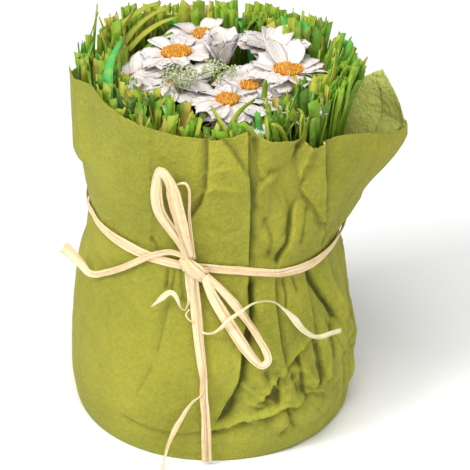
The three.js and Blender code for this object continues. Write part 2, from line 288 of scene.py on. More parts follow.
LAPS = [
    # line, depth, reach, which side lies under (+1 right, -1 left)
    (KNIFE_PLEAT, 3.4, 5, 1),
    (KNIFE_PLEAT_LOW, 4.2, 4, 1),
    ([(-25, 182), (-25, 157), (-25, 132), (-28, 112)], 0.45, 10, 1),
    (SOFT_FOLD, 2.6, 7, -1),
    ([(4, 176), (8, 170), (11, 164), (16, 154)], 2.0, 6, 1),
    (TWISTED_EDGE, 3.2, 5, -1),
    (TWIST_SEAM, 2.6, 6, 1),
    (TWIST_GAP, 4.2, 4, -1),
    ([(30, 95), (29, 80), (29, 61), (30, 50)], 2.4, 4, 1),
    ([(49, 92), (48, 78), (47, 60)], 2.8, 6, 1),
    (DEEP_PLEAT, 4.4, 5, -1),
    (LONG_VALLEY, 5.0, 6, 1),
    (RIDGE_RUN, 3.4, 6, 1),
    ([(38, 51), (39, 32)], 3.0, 4, -1),
    ([(46, 56), (48, 31)], 3.6, 4, 1),
    ([(50, 50), (52, 34)], 2.4, 4, -1),
    ([(27, 46), (26.5, 33)], 3.2, 3, -1),
    ([(61, 52), (66, 30), (67, 10)], 1.8, 8, 1),
    ([(-17, 92), (-19, 75), (-21, 61)], 1.1, 8, -1),
    ([(75, 94), (76, 84), (79, 66)], 2.6, 7, 1),
    ([(84, 60), (82, 40), (80, 18)], 1.9, 8, -1),
    (CRUMPLED_HEM, 3.6, 5, 1),
    ([(-2, 19), (-12, 16), (-24, 16.5), (-34, 19)], 1.1, 6, 1),
]
RIDGES = [
    (TWISTED_EDGE, 1.8, 1.1),
    ([(36, 164), (35, 158), (37, 153)], 1.6, 1.2),
    ([(43, 163), (41, 154), (39, 147)], 1.8, 1.2),
    ([(17, 137), (20, 144), (24, 149), (29, 151)], 1.4, 1.6),
    ([(16, 174), (19, 162), (22, 155), (25, 150)], 1.4, 1.3),
    ([(-9, 142), (-4, 146), (2, 150), (14, 147)], 1.0, 1.2),
    ([(-1, 157), (6, 160), (14, 158)], 0.7, 1.2),
    (RIDGE_RUN, 2.4, 1.4),
    (CRUMPLED_HEM, 2.4, 1.8),
    ([(12, 44), (18, 37), (24, 32)], 2.2, 1.5),
    ([(24, 44), (29, 36), (34, 30)], 2.2, 1.5),
    ([(34, 47), (41, 42), (45, 34)], 2.0, 1.4),
    ([(18, 40), (27, 39), (36, 40)], 1.4, 1.0),
    ([(52, 56), (56, 46), (55, 36)], 1.6, 1.4),
    ([(15, 33), (21, 30), (30, 33)], 1.4, 1.0),
    ([(83, 114), (80, 109), (66, 106), (57, 101)], 1.6, 2.2),
    ([(62, 94), (64, 80), (68, 66)], 1.8, 2.4),
]
VALLEYS = [
    ([(3, 24), (6, 27), (8, 33)], 3.6, 4.0),
    ([(38, 164), (37, 153), (36, 142), (39, 136)], 3.2, 3.4),
    (DEEP_PLEAT, 3.4, 2.0),
    ([(18.5, 172), (19, 158), (18.5, 146), (18, 136)], 2.8, 1.7),
    ([(17.5, 92), (17.5, 78), (15, 66)], 4.4, 1.7),
    ([(30, 26), (31, 20), (33, 15)], 2.0, 1.5),
    ([(31, 18), (28, 12)], 1.4, 1.3),
    ([(44, 128), (42, 120), (41, 112)], 2.2, 2.4),
    ([(24, 128), (27, 118), (27, 108)], 1.8, 2.2),
    ([(21, 49), (24, 41), (22, 34)], 2.6, 2.4),
    ([(33, 42), (35, 35)], 2.4, 1.8),
    ([(40, 33), (44, 30), (50, 31)], 2.2, 1.4),
    ([(18, 29), (24, 31), (28, 32)], 2.0, 1.3),
    ([(57, 62), (60, 50), (59, 40)], 2.0, 1.5),
]
GROOVES = [
    ([(-24, 50), (-27, 42), (-30, 35)], 0.7, 1.1),
    ([(-19, 102), (-20, 92)], 1.6, 1.0),
    ([(-16, 102), (-17, 90)], 1.4, 1.0),
    ([(-13, 102), (-12, 88)], 1.0, 1.1),
    ([(-24, 112), (-27, 117)], 1.4, 1.2),
    ([(34, 92), (35, 84), (34, 78)], 1.8, 0.8),
    ([(39, 92), (41, 84)], 1.4, 0.8),
    ([(22, 150), (26, 154), (33, 154)], 1.2, 1.2),
    ([(1, 128), (6, 124), (12, 126)], 0.6, 1.4),
]


def crease_lines(u, v, cell, seed):
    """Thin straight creases that meet at corners, 1 on the crease and 0 away from it."""
    return np.exp(-np.abs(facets(u, v, cell, seed)) / 0.06)


def gathered_pleats():
    """Random pleats that run up and down from the tie, at the sides and the back."""
    rng = random.Random(SEED)
    pleats = []
    angle = 92.0
    while angle < 300:
        around = angle if angle <= 180 else angle - 360
        edge = abs(abs(around) - 180) < 6
        if not edge and not (-90 < around < -55):
            depth = rng.uniform(0.9, 2.1)
            lean = rng.uniform(-4, 4)
            low = rng.uniform(30, 70)
            low_side = rng.choice((-1, 1))
            pleats.append(([(around, 96), (around + lean * 0.5, 80), (around + lean, low)],
                           depth, rng.uniform(4, 8), low_side))
            high = rng.uniform(125, 168)
            lean = rng.uniform(-4, 4)
            pleats.append(([(around + lean, high), (around + lean * 0.4, 122), (around, 104)],
                           depth * 0.8, rng.uniform(4, 9), low_side))
        angle += rng.uniform(7, 13)
    return pleats


def wrap_radius(t, z):
    straight = np.clip((z - EAR_START) / (EAR_FULL - EAR_START), 0, 1)
    lift = 0.25 * smoothstep(EAR_START, EAR_FULL, z) + 0.75 * straight
    tie = read_table(TIE_HEIGHT, t)
    level = z - (tie - TIE_MIDDLE) * np.exp(-(((z - tie) / 24) ** 2))
    radius = read_table(WRAP_PROFILE, level) + lift * read_table(EAR_REACH, t)
    radius = radius + smoothstep(80, 97, z) * read_table(UPPER_SHIFT, t)
    radius = radius + (1 - smoothstep(40, 95, z)) * read_table(LOWER_SHIFT, t)
    # The upper layer of paper on the left ends in a low step of its own.
    step = smoothstep(138.5, 144, z) * smoothstep(-61, -71, t) * smoothstep(-128, -114, t)
    return radius + 3.2 * step


def wrap_relief(t, z):
    u, v = t * ROUND, z
    relief = np.zeros_like(u)
    for line, depth, reach, low_side in LAPS + gathered_pleats():
        relief += lap(u, v, line, depth, reach, 5.0, low_side)
    for line, height, width in RIDGES:
        relief += ridge(u, v, line, height, width)
    for line, depth, width in VALLEYS:
        relief += ridge(u, v, line, -depth, width)
    for line, depth, width in GROOVES:
        relief += groove(u, v, line, depth, width)
    seam = smoothstep(0, 14, 180 - np.abs(t))
    right_low = smoothstep(2, 20, t) * (1 - smoothstep(72, 92, t))
    right_low = right_low * smoothstep(10, 20, z) * (1 - smoothstep(50, 75, z))
    right_high = smoothstep(16, 22, t) * (1 - smoothstep(54, 66, t)) * smoothstep(100, 110, z)
    behind = smoothstep(84, 110, t) + smoothstep(-96, -120, t)
    strength = 0.13 + 0.95 * right_low + 0.55 * right_high + 0.5 * behind + 0.25 * smoothstep(20, 40, t)
    strength = np.minimum(strength, 1.1)
    relief += strength * facets(u, v * 0.62, 19.0, SEED + 1) * 3.0
    relief += strength * facets(u, v * 0.7, 9.0, SEED + 2) * 0.9
    relief += strength * facets(u, v, 3.6, SEED + 6) * 0.3
    relief += right_low * facets(u + v * 0.5, v - u * 0.2, 13.0, SEED + 12) * 1.4
    lines = strength * (0.3 + 0.4 * right_low)
    relief += lines * crease_lines(u, v * 0.6, 15.0, SEED + 14)
    relief -= lines * crease_lines(u + v * 0.4, v * 0.8, 14.0, SEED + 16)
    relief += value_noise(u, v, 26, SEED + 3) * 0.6 + value_noise(u, v, 9, SEED + 4) * 0.15
    hem_rough = np.exp(-(line_distance(u, v, CRUMPLED_HEM)[0] / 6.0) ** 2)
    relief += hem_rough * facets(u, v, 6.0, SEED + 8) * 1.3
    # Strands of the bow lie close over the front, so the paper stays low under them.
    under_bow = smoothstep(-34, -26, t) * (1 - smoothstep(2, 8, t))
    relief = np.minimum(relief, 2.6 + 1.4 * right_low - 1.7 * under_bow)
    relief = np.maximum(relief, np.where(z > 112, -3.4, -7.0)) * seam
    near_tie = np.exp(-(((z - read_table(TIE_HEIGHT, t)) / 4.5) ** 2))
    return relief * (1 - 0.8 * near_tie) * smoothstep(0, 3, z)


def rise_over_surroundings(relief):
    """How far each spot lies above (+) or below (-) the paper round it."""
    rows = relief.shape[0]
    around = relief
    for reach in (3, 3):
        steps = range(-reach, reach + 1)
        around = sum(around[np.clip(np.arange(rows) + k, 0, rows - 1)] for k in steps) / len(steps)
        around = sum(np.roll(around, k * 2, axis=1) for k in steps) / len(steps)
    return relief - around


def wrap_columns():
    """Degrees round the bunch: close together in front, wider apart behind."""
    front = np.arange(-100, 106, 0.42)
    behind = np.arange(106, 260, 1.1)
    return np.concatenate([front, np.where(behind > 180, behind - 360, behind)])


def add_ear_tip(points, faces):
    """The small folded corner of paper that hangs below the pointed ear."""
    first = len(points)
    steps = 5
    corner = float(wrap_radius(np.array(85.0), np.array(151.0)))
    for row in range(steps + 1):
        down = row / steps
        for column in range(steps + 1):
            share = column / steps
            t = 79 + 8.5 * share * (1 - down) + 6.5 * down
            z = 152.5 - 9.5 * down - 1.5 * share * (1 - down)
            radius = corner - 5.5 + 5.5 * share * (1 - down) + 3.6 * down
            angle = math.radians(t - 90)
            points.append((radius * math.cos(angle), radius * math.sin(angle), z))
    for row in range(steps):
        for column in range(steps):
            a = first + row * (steps + 1) + column
            b = a + steps + 1
            faces.append((a, b, b + 1, a + 1))


def make_wrap(material, inner_material):
    t = wrap_columns()
    columns, rows = len(t), 210
    share = np.linspace(0, 1, rows)
    rim = read_table(RIM_LINE, t) + value_noise(t * ROUND, t * 0, 3.0, SEED + 5) * 0.45
    rim += np.abs(value_noise(t * ROUND, t * 0 + 40, 1.1, SEED + 9)) * 0.35
    grid_t = np.repeat(t[None, :], rows, axis=0)
    grid_z = share[:, None] * rim[None, :]
    relief = wrap_relief(grid_t, grid_z)
    radius = wrap_radius(grid_t, grid_z) + relief
    angle = np.radians(grid_t - 90)
    wall = np.stack([radius * np.cos(angle), radius * np.sin(angle), grid_z], axis=-1)
    points = wall.reshape(-1, 3).tolist()
    faces = []
    for row in range(rows - 1):
        base = row * columns
        for column in range(columns):
            after = (column + 1) % columns
            faces.append((base + column, base + after, base + columns + after, base + columns + column))
    # The foot: the hem folded flat under the bunch.
    previous = list(range(columns))
    for share_in in (0.93, 0.7, 0.4, 0.12):
        start = len(points)
        for column in range(columns):
            x, y, _ = points[column]
            points.append((x * share_in, y * share_in, 0.0))
        ring = list(range(start, start + columns))
        for column in range(columns):
            after = (column + 1) % columns
            faces.append((previous[after], previous[column], ring[column], ring[after]))
        previous = ring
    centre = len(points)
    points.append((0.0, 0.0, 0.0))
    for column in range(columns):
        faces.append((previous[(column + 1) % columns], previous[column], centre))
    add_ear_tip(points, faces)
    mesh = bpy.data.meshes.new("paper_wrap_sheet")
    mesh.from_pydata([tuple(c * MM for c in point) for point in points], [], faces)
    # The rise over the paper round each spot, kept on the mesh to paint paler ridges and darker valleys into
    # the paper colour.
    crease = rise_over_surroundings(relief).reshape(-1).tolist()
    values = mesh.attributes.new("crease", "FLOAT", "POINT")
    values.data.foreach_set("value", crease + [0.0] * (len(points) - len(crease)))
    wrap = finish_mesh("paper_wrap_sheet", mesh, material)
    wrap.data.materials.append(inner_material)
    thicken = wrap.modifiers.new("thickness", "SOLIDIFY")
    thicken.thickness = PAPER_THICKNESS * MM
    thicken.offset = -1.0
    # Inner faces take the inner paper, which has painted light in its paler colour.
    thicken.material_offset = 1
    return wrap


# ---------------------------------------------------------------- materials


def new_material(name, roughness):
    material = bpy.data.materials.new(name)
    material.use_nodes = True
    shader = material.node_tree.nodes["Principled BSDF"]
    shader.inputs["Roughness"].default_value = roughness
    return material, material.node_tree, shader


def add(tree, kind, **settings):
    node = tree.nodes.new(kind)
    for key, value in settings.items():
        setattr(node, key, value)
    return node


def linear(red, green, blue):
    def convert(value):
        value /= 255
        return value / 12.92 if value <= 0.04045 else ((value + 0.055) / 1.055) ** 2.4
    return (convert(red), convert(green), convert(blue), 1.0)


def ramp(tree, source, stops):
    node = add(tree, "ShaderNodeValToRGB")
    elements = node.color_ramp.elements
    for _ in range(len(stops) - 2):
        elements.new(0.5)
    for element, (place, colour) in zip(elements, stops):
        element.position = place
        element.color = colour
    tree.links.new(source, node.inputs["Fac"])
    return node.outputs["Color"]


def feed(tree, socket, value):
    """Give a socket a fixed value, or link it to another node's output."""
    if isinstance(value, (int, float, tuple)):
        socket.default_value = value
    else:
        tree.links.new(value, socket)


def mix(tree, share, first, second, mode="MIX"):
    node = add(tree, "ShaderNodeMix", data_type="RGBA", blend_type=mode)
    sockets = (node.inputs["Factor"], node.inputs["A"], node.inputs["B"])
    for socket, value in zip(sockets, (share, first, second)):
        feed(tree, socket, value)
    return [s for s in node.outputs if s.type == "RGBA"][0]


def value_of(tree, name):
    return add(tree, "ShaderNodeAttribute", attribute_name=name).outputs["Fac"]


def math_node(tree, operation, first, second=None):
    node = add(tree, "ShaderNodeMath", operation=operation)
    for socket, value in zip(node.inputs, (first, second)):
        if value is not None:
            feed(tree, socket, value)
    return node.outputs[0]


def product(tree, first, second):
    return math_node(tree, "MULTIPLY", first, second)


def bump(tree, shader, height, distance, strength=1.0):
    node = add(tree, "ShaderNodeBump")
    node.inputs["Distance"].default_value = distance
    node.inputs["Strength"].default_value = strength
    tree.links.new(height, node.inputs["Height"])
    tree.links.new(node.outputs["Normal"], shader.inputs["Normal"])


def make_grain_group():
    """Lengthwise grain of a split strip: long fine streaks along it."""
    group = bpy.data.node_groups.new("strip_grain", "ShaderNodeTree")
    face = group.interface
    for name, value in (("Along", 0.0), ("Across", 0.0), ("Tint", 0.0), ("Stretch", 0.1), ("Fineness", 3.0)):
        socket = face.new_socket(name, in_out="INPUT", socket_type="NodeSocketFloat")
        socket.default_value = value
    face.new_socket("Streaks", in_out="OUTPUT", socket_type="NodeSocketFloat")
    source = add(group, "NodeGroupInput")
    result = add(group, "NodeGroupOutput")
    place = add(group, "ShaderNodeCombineXYZ")
    # The tint shifts a strip through the noise, so its neighbours' streaks differ from its own.
    tint_spread = 37.0
    factors = (source.outputs["Stretch"], source.outputs["Fineness"], tint_spread)
    for axis, (name, factor) in enumerate(zip(("Along", "Across", "Tint"), factors)):
        group.links.new(product(group, source.outputs[name], factor), place.inputs[axis])
    noise = add(group, "ShaderNodeTexNoise")
    noise.inputs["Scale"].default_value = 1.0
    noise.inputs["Detail"].default_value = 3.0
    group.links.new(place.outputs[0], noise.inputs["Vector"])
    group.links.new(noise.outputs["Fac"], result.inputs[0])
    return group


def make_patch_group():
    """Soft cloudy patches fixed to the piece, one size of patch per use."""
    group = bpy.data.node_groups.new("cloudy_patches", "ShaderNodeTree")
    face = group.interface
    for name, value in (("Scale", 60.0), ("Detail", 2.0), ("Low", 0.35), ("High", 0.65)):
        socket = face.new_socket(name, in_out="INPUT", socket_type="NodeSocketFloat")
        socket.default_value = value
    face.new_socket("Mask", in_out="OUTPUT", socket_type="NodeSocketFloat")
    source = add(group, "NodeGroupInput")
    result = add(group, "NodeGroupOutput")
    place = add(group, "ShaderNodeTexCoord")
    noise = add(group, "ShaderNodeTexNoise")
    group.links.new(place.outputs["Object"], noise.inputs["Vector"])
    group.links.new(source.outputs["Scale"], noise.inputs["Scale"])
    group.links.new(source.outputs["Detail"], noise.inputs["Detail"])
    spread = add(group, "ShaderNodeMapRange")
    group.links.new(noise.outputs["Fac"], spread.inputs["Value"])
    group.links.new(source.outputs["Low"], spread.inputs["From Min"])
    group.links.new(source.outputs["High"], spread.inputs["From Max"])
    group.links.new(spread.outputs["Result"], result.inputs[0])
    return group


GRAIN = make_grain_group()
PATCHES = make_patch_group()


def patches(tree, scale, detail, low, high):
    node = add(tree, "ShaderNodeGroup", node_tree=PATCHES)
    for name, value in (("Scale", scale), ("Detail", detail), ("Low", low), ("High", high)):
        node.inputs[name].default_value = value
    return node.outputs["Mask"]


def grain(tree, stretch, fineness):
    node = add(tree, "ShaderNodeGroup", node_tree=GRAIN)
    for name in ("Along", "Across", "Tint"):
        tree.links.new(value_of(tree, name.lower()), node.inputs[name])
    node.inputs["Stretch"].default_value = stretch
    node.inputs["Fineness"].default_value = fineness
    return node.outputs["Streaks"]


def fibre_web(tree, scale, turn):
    """Long thin fibres lying one way in handmade paper, as a mask."""
    place = add(tree, "ShaderNodeTexCoord")
    mapping = add(tree, "ShaderNodeMapping")
    mapping.inputs["Rotation"].default_value = (turn, turn * 0.6, turn * 1.3)
    mapping.inputs["Scale"].default_value = (scale, scale * 0.12, scale * 0.5)
    tree.links.new(place.outputs["Object"], mapping.inputs["Vector"])
    noise = add(tree, "ShaderNodeTexNoise")
    noise.inputs["Scale"].default_value = 1.0
    noise.inputs["Detail"].default_value = 2.0
    tree.links.new(mapping.outputs[0], noise.inputs["Vector"])
    spread = add(tree, "ShaderNodeMapRange")
    spread.inputs["From Min"].default_value = 0.54
    spread.inputs["From Max"].default_value = 0.7
    tree.links.new(noise.outputs["Fac"], spread.inputs["Value"])
    return spread.outputs["Result"]


def paper_material(name, dark, middle, light, stain, crumple=2.6, fold_light_and_shade=1.0):
    material, tree, shader = new_material(name, 0.86)
    clouds = patches(tree, 26, 3, 0.3, 0.7)
    body = ramp(tree, clouds, [(0.0, dark), (0.5, middle), (1.0, light)])
    stains = patches(tree, 11, 2, 0.46, 0.7)
    body = mix(tree, product(tree, stains, 0.4), body, stain)
    mottles = patches(tree, 95, 5, 0.38, 0.66)
    body = mix(tree, product(tree, mottles, 0.3), body, dark)
    flecks = patches(tree, 900, 3, 0.42, 0.68)
    body = mix(tree, product(tree, flecks, 0.16), body, linear(196, 192, 100))
    fibres = math_node(tree, "ADD", fibre_web(tree, 900, 0.5), fibre_web(tree, 800, 2.1))
    body = mix(tree, product(tree, fibres, 0.08), body, linear(190, 188, 104))
    pits = patches(tree, 420, 3, 0.35, 0.7)
    body = mix(tree, product(tree, pits, 0.16), body, linear(100, 98, 22))
    # Painted light and shade: fold ridges are painted paler and fold valleys darker, from how far each spot
    # lies above or below the paper round it.
    fold = add(tree, "ShaderNodeMapRange")
    fold.inputs["From Min"].default_value = -1.5
    fold.inputs["From Max"].default_value = 1.1
    tree.links.new(value_of(tree, "crease"), fold.inputs["Value"])
    shade = ramp(tree, fold.outputs["Result"], [
        (0.0, (0.3, 0.32, 0.26, 1)), (0.36, (0.66, 0.67, 0.6, 1)), (0.58, (0.87, 0.87, 0.87, 1)),
        (1.0, (1, 1, 1, 1)),
    ])
    body = mix(tree, fold_light_and_shade, body, shade, "MULTIPLY")
    tree.links.new(body, shader.inputs["Base Color"])
    wrinkles = patches(tree, 130, 3, 0.2, 0.8)
    relief = math_node(tree, "ADD", product(tree, pits, 0.7), product(tree, fibres, 0.4))
    relief = math_node(tree, "ADD", relief, product(tree, wrinkles, crumple))
    bump(tree, shader, relief, 0.0004, 0.9)
    return material


def raffia_material(name, pale):
    material, tree, shader = new_material(name, 0.5)
    streaks = grain(tree, 0.04, 2.4)
    if pale:
        stops = [(0.3, linear(196, 184, 126)), (0.47, linear(226, 216, 170)), (0.68, linear(244, 238, 206))]
    else:
        stops = [(0.3, linear(204, 160, 108)), (0.44, linear(240, 210, 160)), (0.6, linear(248, 226, 184)),
                 (0.75, linear(253, 240, 214))]
    body = ramp(tree, streaks, stops)
    knots = patches(tree, 300, 2, 0.52, 0.75)
    body = mix(tree, product(tree, knots, 0.35), body, linear(214, 170, 112))
    tree.links.new(body, shader.inputs["Base Color"])
    bump(tree, shader, streaks, 0.0005, 0.9)
    return material


def grass_material():
    material, tree, shader = new_material("dyed_wood_shavings", 0.7)
    tint = value_of(tree, "tint")
    body = ramp(tree, tint, [
        (0.0, linear(60, 98, 14)), (0.18, linear(96, 146, 24)), (0.36, linear(132, 184, 36)),
        (0.55, linear(168, 188, 46)), (0.72, linear(192, 196, 68)), (0.84, linear(190, 170, 78)),
        (0.92, linear(84, 186, 62)), (1.0, linear(84, 194, 96)),
    ])
    streaks = grain(tree, 0.08, 2.4)
    body = mix(tree, streaks, mix(tree, 1.0, body, linear(214, 210, 180), "MULTIPLY"), body)
    blotches = patches(tree, 240, 2, 0.5, 0.72)
    body = mix(tree, product(tree, blotches, 0.4), body, linear(202, 192, 92))
    tree.links.new(body, shader.inputs["Base Color"])
    bump(tree, shader, streaks, 0.0004, 0.8)
    return material


def petal_material():
    material, tree, shader = new_material("white_shaved_petals", 0.75)
    streaks = grain(tree, 0.1, 1.6)
    body = ramp(tree, streaks, [
        (0.28, linear(206, 197, 197)), (0.42, linear(227, 219, 215)), (0.6, linear(236, 229, 222)),
    ])
    along = value_of(tree, "along")
    root = add(tree, "ShaderNodeMapRange")
    root.inputs["From Min"].default_value = 8.0
    root.inputs["From Max"].default_value = 1.0
    tree.links.new(along, root.inputs["Value"])
    body = mix(tree, product(tree, root.outputs["Result"], 0.35), body, linear(236, 214, 176))
    specks = patches(tree, 500, 2, 0.6, 0.74)
    body = mix(tree, product(tree, specks, 0.3), body, linear(214, 190, 160))
    # Painted shade: each petal is darkened to lilac-grey along its edges, for the shadow where petals
    # overlap.
    edge = add(tree, "ShaderNodeMapRange")
    edge.inputs["From Min"].default_value = 3.4
    edge.inputs["From Max"].default_value = 5.2
    tree.links.new(math_node(tree, "ABSOLUTE", value_of(tree, "across")), edge.inputs["Value"])
    body = mix(tree, product(tree, edge.outputs["Result"], 0.5), body, linear(206, 199, 206))
    tree.links.new(body, shader.inputs["Base Color"])
    bump(tree, shader, streaks, 0.0006, 0.7)
    return material


def centre_material():
    material, tree, shader = new_material("ochre_tufts", 0.8)
    body = ramp(tree, value_of(tree, "tint"), [
        (0.0, linear(122, 66, 18)), (0.3, linear(196, 124, 30)), (0.65, linear(222, 156, 46)),
        (1.0, linear(238, 190, 84)),
    ])
    # Painted shade: the threads and the stub under them are darkened towards their roots, down inside the
    # packed tuft.
    depth = add(tree, "ShaderNodeMapRange")
    depth.inputs["From Min"].default_value = 2.2
    depth.inputs["From Max"].default_value = 0.4
    tree.links.new(value_of(tree, "along"), depth.inputs["Value"])
    body = mix(tree, product(tree, depth.outputs["Result"], 0.75), body, linear(140, 72, 16))
    tree.links.new(body, shader.inputs["Base Color"])
    bump(tree, shader, grain(tree, 0.5, 6.0), 0.0002, 0.6)
    return material


def filler_material():
    material, tree, shader = new_material("pale_green_buds", 0.85)
    body = ramp(tree, value_of(tree, "tint"), [
        (0.0, linear(120, 134, 70)), (0.45, linear(176, 190, 128)), (1.0, linear(226, 230, 196)),
    ])
    tree.links.new(body, shader.inputs["Base Color"])
    bump(tree, shader, patches(tree, 1500, 2, 0.3, 0.7), 0.0002, 0.6)
    return material


def plain_grained_material(name, dark, light, scale, roughness):
    material, tree, shader = new_material(name, roughness)
    cells = patches(tree, scale, 4, 0.35, 0.65)
    tree.links.new(ramp(tree, cells, [(0.0, dark), (1.0, light)]), shader.inputs["Base Color"])
    bump(tree, shader, cells, 0.0008, 0.8)
    return material


PAPER = paper_material("olive_mulberry_paper", linear(144, 145, 32), linear(160, 158, 38),
                       linear(172, 168, 44), linear(150, 158, 54))
# The inner side of the paper: the same paper with painted light, made much paler to look lit where it shows
# in the ear, and with less of the painted fold shade.
INNER_PAPER_PAINTED_LIT = paper_material("inner_paper_painted_lit", linear(226, 234, 118), linear(238, 242, 134),
                             linear(244, 248, 148), linear(226, 236, 142), 1.0, 0.3)
RAFFIA = raffia_material("natural_raffia", False)
PALE_RAFFIA = raffia_material("bleached_raffia", True)
GRASS = grass_material()
PETALS = petal_material()
CENTRES = centre_material()
FILLER = filler_material()
STEMS = plain_grained_material("stained_sticks", linear(60, 66, 26), linear(106, 112, 52), 700, 0.8)
FOAM = plain_grained_material("dark_dry_foam", linear(40, 30, 22), linear(74, 58, 44), 900, 1.0)


# ---------------------------------------------------------------- raffia

# Routes over the front of the wrap: (x, height, clearance from the paper).
UPPER_LOOP = [
    (-10.4, 110.8, 4.6), (-13.2, 119.1, 4.4), (-17.2, 126.1, 4.6), (-22.1, 134, 5), (-24.1, 138.9, 5.4),
    (-25, 145.4, 5.6), (-24.9, 152.1, 6), (-24.4, 157.3, 6.6), (-23.4, 160.3, 7), (-21.3, 159.3, 7.2),
    (-18.8, 154.7, 7), (-17.4, 148.5, 6.8), (-16.3, 142.6, 6.6), (-14.7, 135.3, 6.2),
    (-12.7, 125.6, 5.6), (-9.9, 113.4, 5),
]
SMALL_LOOP = [
    (-11, 109.4, 2.6), (-13.7, 122, 2.6), (-15.5, 136.2, 3), (-16.6, 145.6, 3.4), (-16.6, 150.5, 3.6),
    (-14.9, 153, 3.8), (-11.6, 153.9, 3.8), (-10, 151.3, 3.6), (-9.6, 145.3, 3.4), (-9.8, 136.9, 3.2),
    (-9, 125.5, 3), (-7.6, 111, 3),
]
LOWER_LOOP = [
    (-3.3, 103.1, 4.2), (0.5, 93.3, 4.4), (5.5, 84.1, 5), (10.5, 75.9, 5.6), (15.8, 67.9, 6),
    (20.9, 60.7, 6.4), (24.5, 57.7, 6.6), (27.2, 59.4, 6.4), (26.2, 63.8, 6), (22.5, 70.6, 5.6),
    (17, 79.3, 5), (10.5, 88.5, 4.6), (3.3, 97.2, 4.4), (-2.4, 102.6, 4.2),
]
LEFT_TAIL = [
    (-11.4, 112.3, 4.4), (-18.7, 113.4, 3.2), (-27.6, 109.3, 2.2), (-34, 104.8, 2.2), (-44.6, 96.4, 2.8),
    (-55.8, 88.2, 4), (-59.9, 87.6, 5.5), (-63.2, 90, 7.5), (-66.6, 93, 10.5), (-70, 95.5, 13),
    (-72.4, 97, 15),
]
LONG_TAIL = [
    (-8.5, 105, 4.2), (-7.9, 94.9, 3.4), (-7.2, 86.9, 3), (-6.4, 77.5, 2.8), (-5.5, 67.9, 2.8),
    (-4.3, 59.4, 2.8), (-3.7, 52.2, 2.9), (-3.4, 43.6, 2.8), (-2.9, 33.5, 2.8), (-2.4, 19.2, 2.8),
    (-2.2, 2.4, 3.2),
]
THIN_TAIL = [
    (-3.9, 43.4, 3.4), (-5.8, 41.1, 3.8), (-8.7, 38.5, 3.6), (-11.9, 33.4, 3.6), (-15.3, 26.9, 3.8),
    (-19, 19, 4.2), (-21.6, 11, 5.2), (-23.2, 4.6, 8), (-24.4, 1.2, 13),
]
RIGHT_CURL = [
    (-7.6, 101, 1.3), (-7.2, 93.8, 1.2), (-6.2, 83, 1.2), (-5.3, 75, 1.6), (-2.9, 73.8, 3.2),
    (1, 75, 5), (5.5, 79.6, 8), (8.9, 83.7, 9.6), (14.5, 87.4, 9.6), (20.2, 89.5, 8), (25.8, 88.9, 7),
    (30.4, 87, 6.6), (35, 82.2, 6.4), (39.7, 76.2, 6.2), (44.4, 69.3, 6), (49.1, 64.6, 6.2),
    (53.9, 62, 6.6), (58.6, 61.3, 7), (63.5, 59.8, 7.6),
]
LEFT_CURL = [
    (-11.2, 103.8, 2.6), (-11, 97.8, 2.6), (-10.3, 91.5, 3), (-10.9, 87.7, 3.6), (-12.6, 85.3, 4.6),
    (-14.5, 86.7, 5.2), (-15.9, 90.1, 5), (-17.5, 92.6, 4.6), (-19.6, 93.1, 4.6), (-22, 91.4, 4.6),
    (-24.9, 88.4, 4.6), (-28.5, 84.6, 4.8),
]
RAFFIA_THICKNESS = 0.4


def before_wrap(x, height, clearance):
    """The point at this x and height that stands clear of the paper in front."""
    degrees = 0.0
    for _ in range(5):
        radius = float(wrap_radius(np.array(degrees), np.array(float(height)))) + clearance
        degrees = math.degrees(math.asin(max(-1.0, min(1.0, x / radius))))
    return Vector((x, -math.sqrt(max(radius * radius - x * x, 0.0)), height))


def smooth_route(points, step):
    """Centripetal Catmull-Rom line through the points, sampled every step."""
    ends = [points[0] * 2 - points[1]] + list(points) + [points[-1] * 2 - points[-2]]
    line = []
    for i in range(len(points) - 1):
        p0, p1, p2, p3 = ends[i:i + 4]
        t0 = 0.0
        t1 = t0 + max((p1 - p0).length, 1e-6) ** 0.5
        t2 = t1 + max((p2 - p1).length, 1e-6) ** 0.5
        t3 = t2 + max((p3 - p2).length, 1e-6) ** 0.5
        count = max(2, int((p2 - p1).length / step))
        for k in range(count):
            t = t1 + (t2 - t1) * k / count
            a1 = p0 * ((t1 - t) / (t1 - t0)) + p1 * ((t - t0) / (t1 - t0))
            a2 = p1 * ((t2 - t) / (t2 - t1)) + p2 * ((t - t1) / (t2 - t1))
            a3 = p2 * ((t3 - t) / (t3 - t2)) + p3 * ((t - t2) / (t3 - t2))
            b1 = a1 * ((t2 - t) / (t2 - t0)) + a2 * ((t - t0) / (t2 - t0))
            b2 = a2 * ((t3 - t) / (t3 - t1)) + a3 * ((t - t1) / (t3 - t1))
            line.append(b1 * ((t2 - t) / (t2 - t1)) + b2 * ((t - t1) / (t2 - t1)))
    line.append(points[-1].copy())
    return line


def line_length(line):
    return sum((b - a).length for a, b in zip(line, line[1:]))


def facing_out(point):
    return Vector((point.x, point.y, 0)).normalized()


def at_share(table, share):
    return float(np.interp(share, [row[0] for row in table], [row[1] for row in table]))


FRONT = Vector((0, -1, 0.35)).normalized()


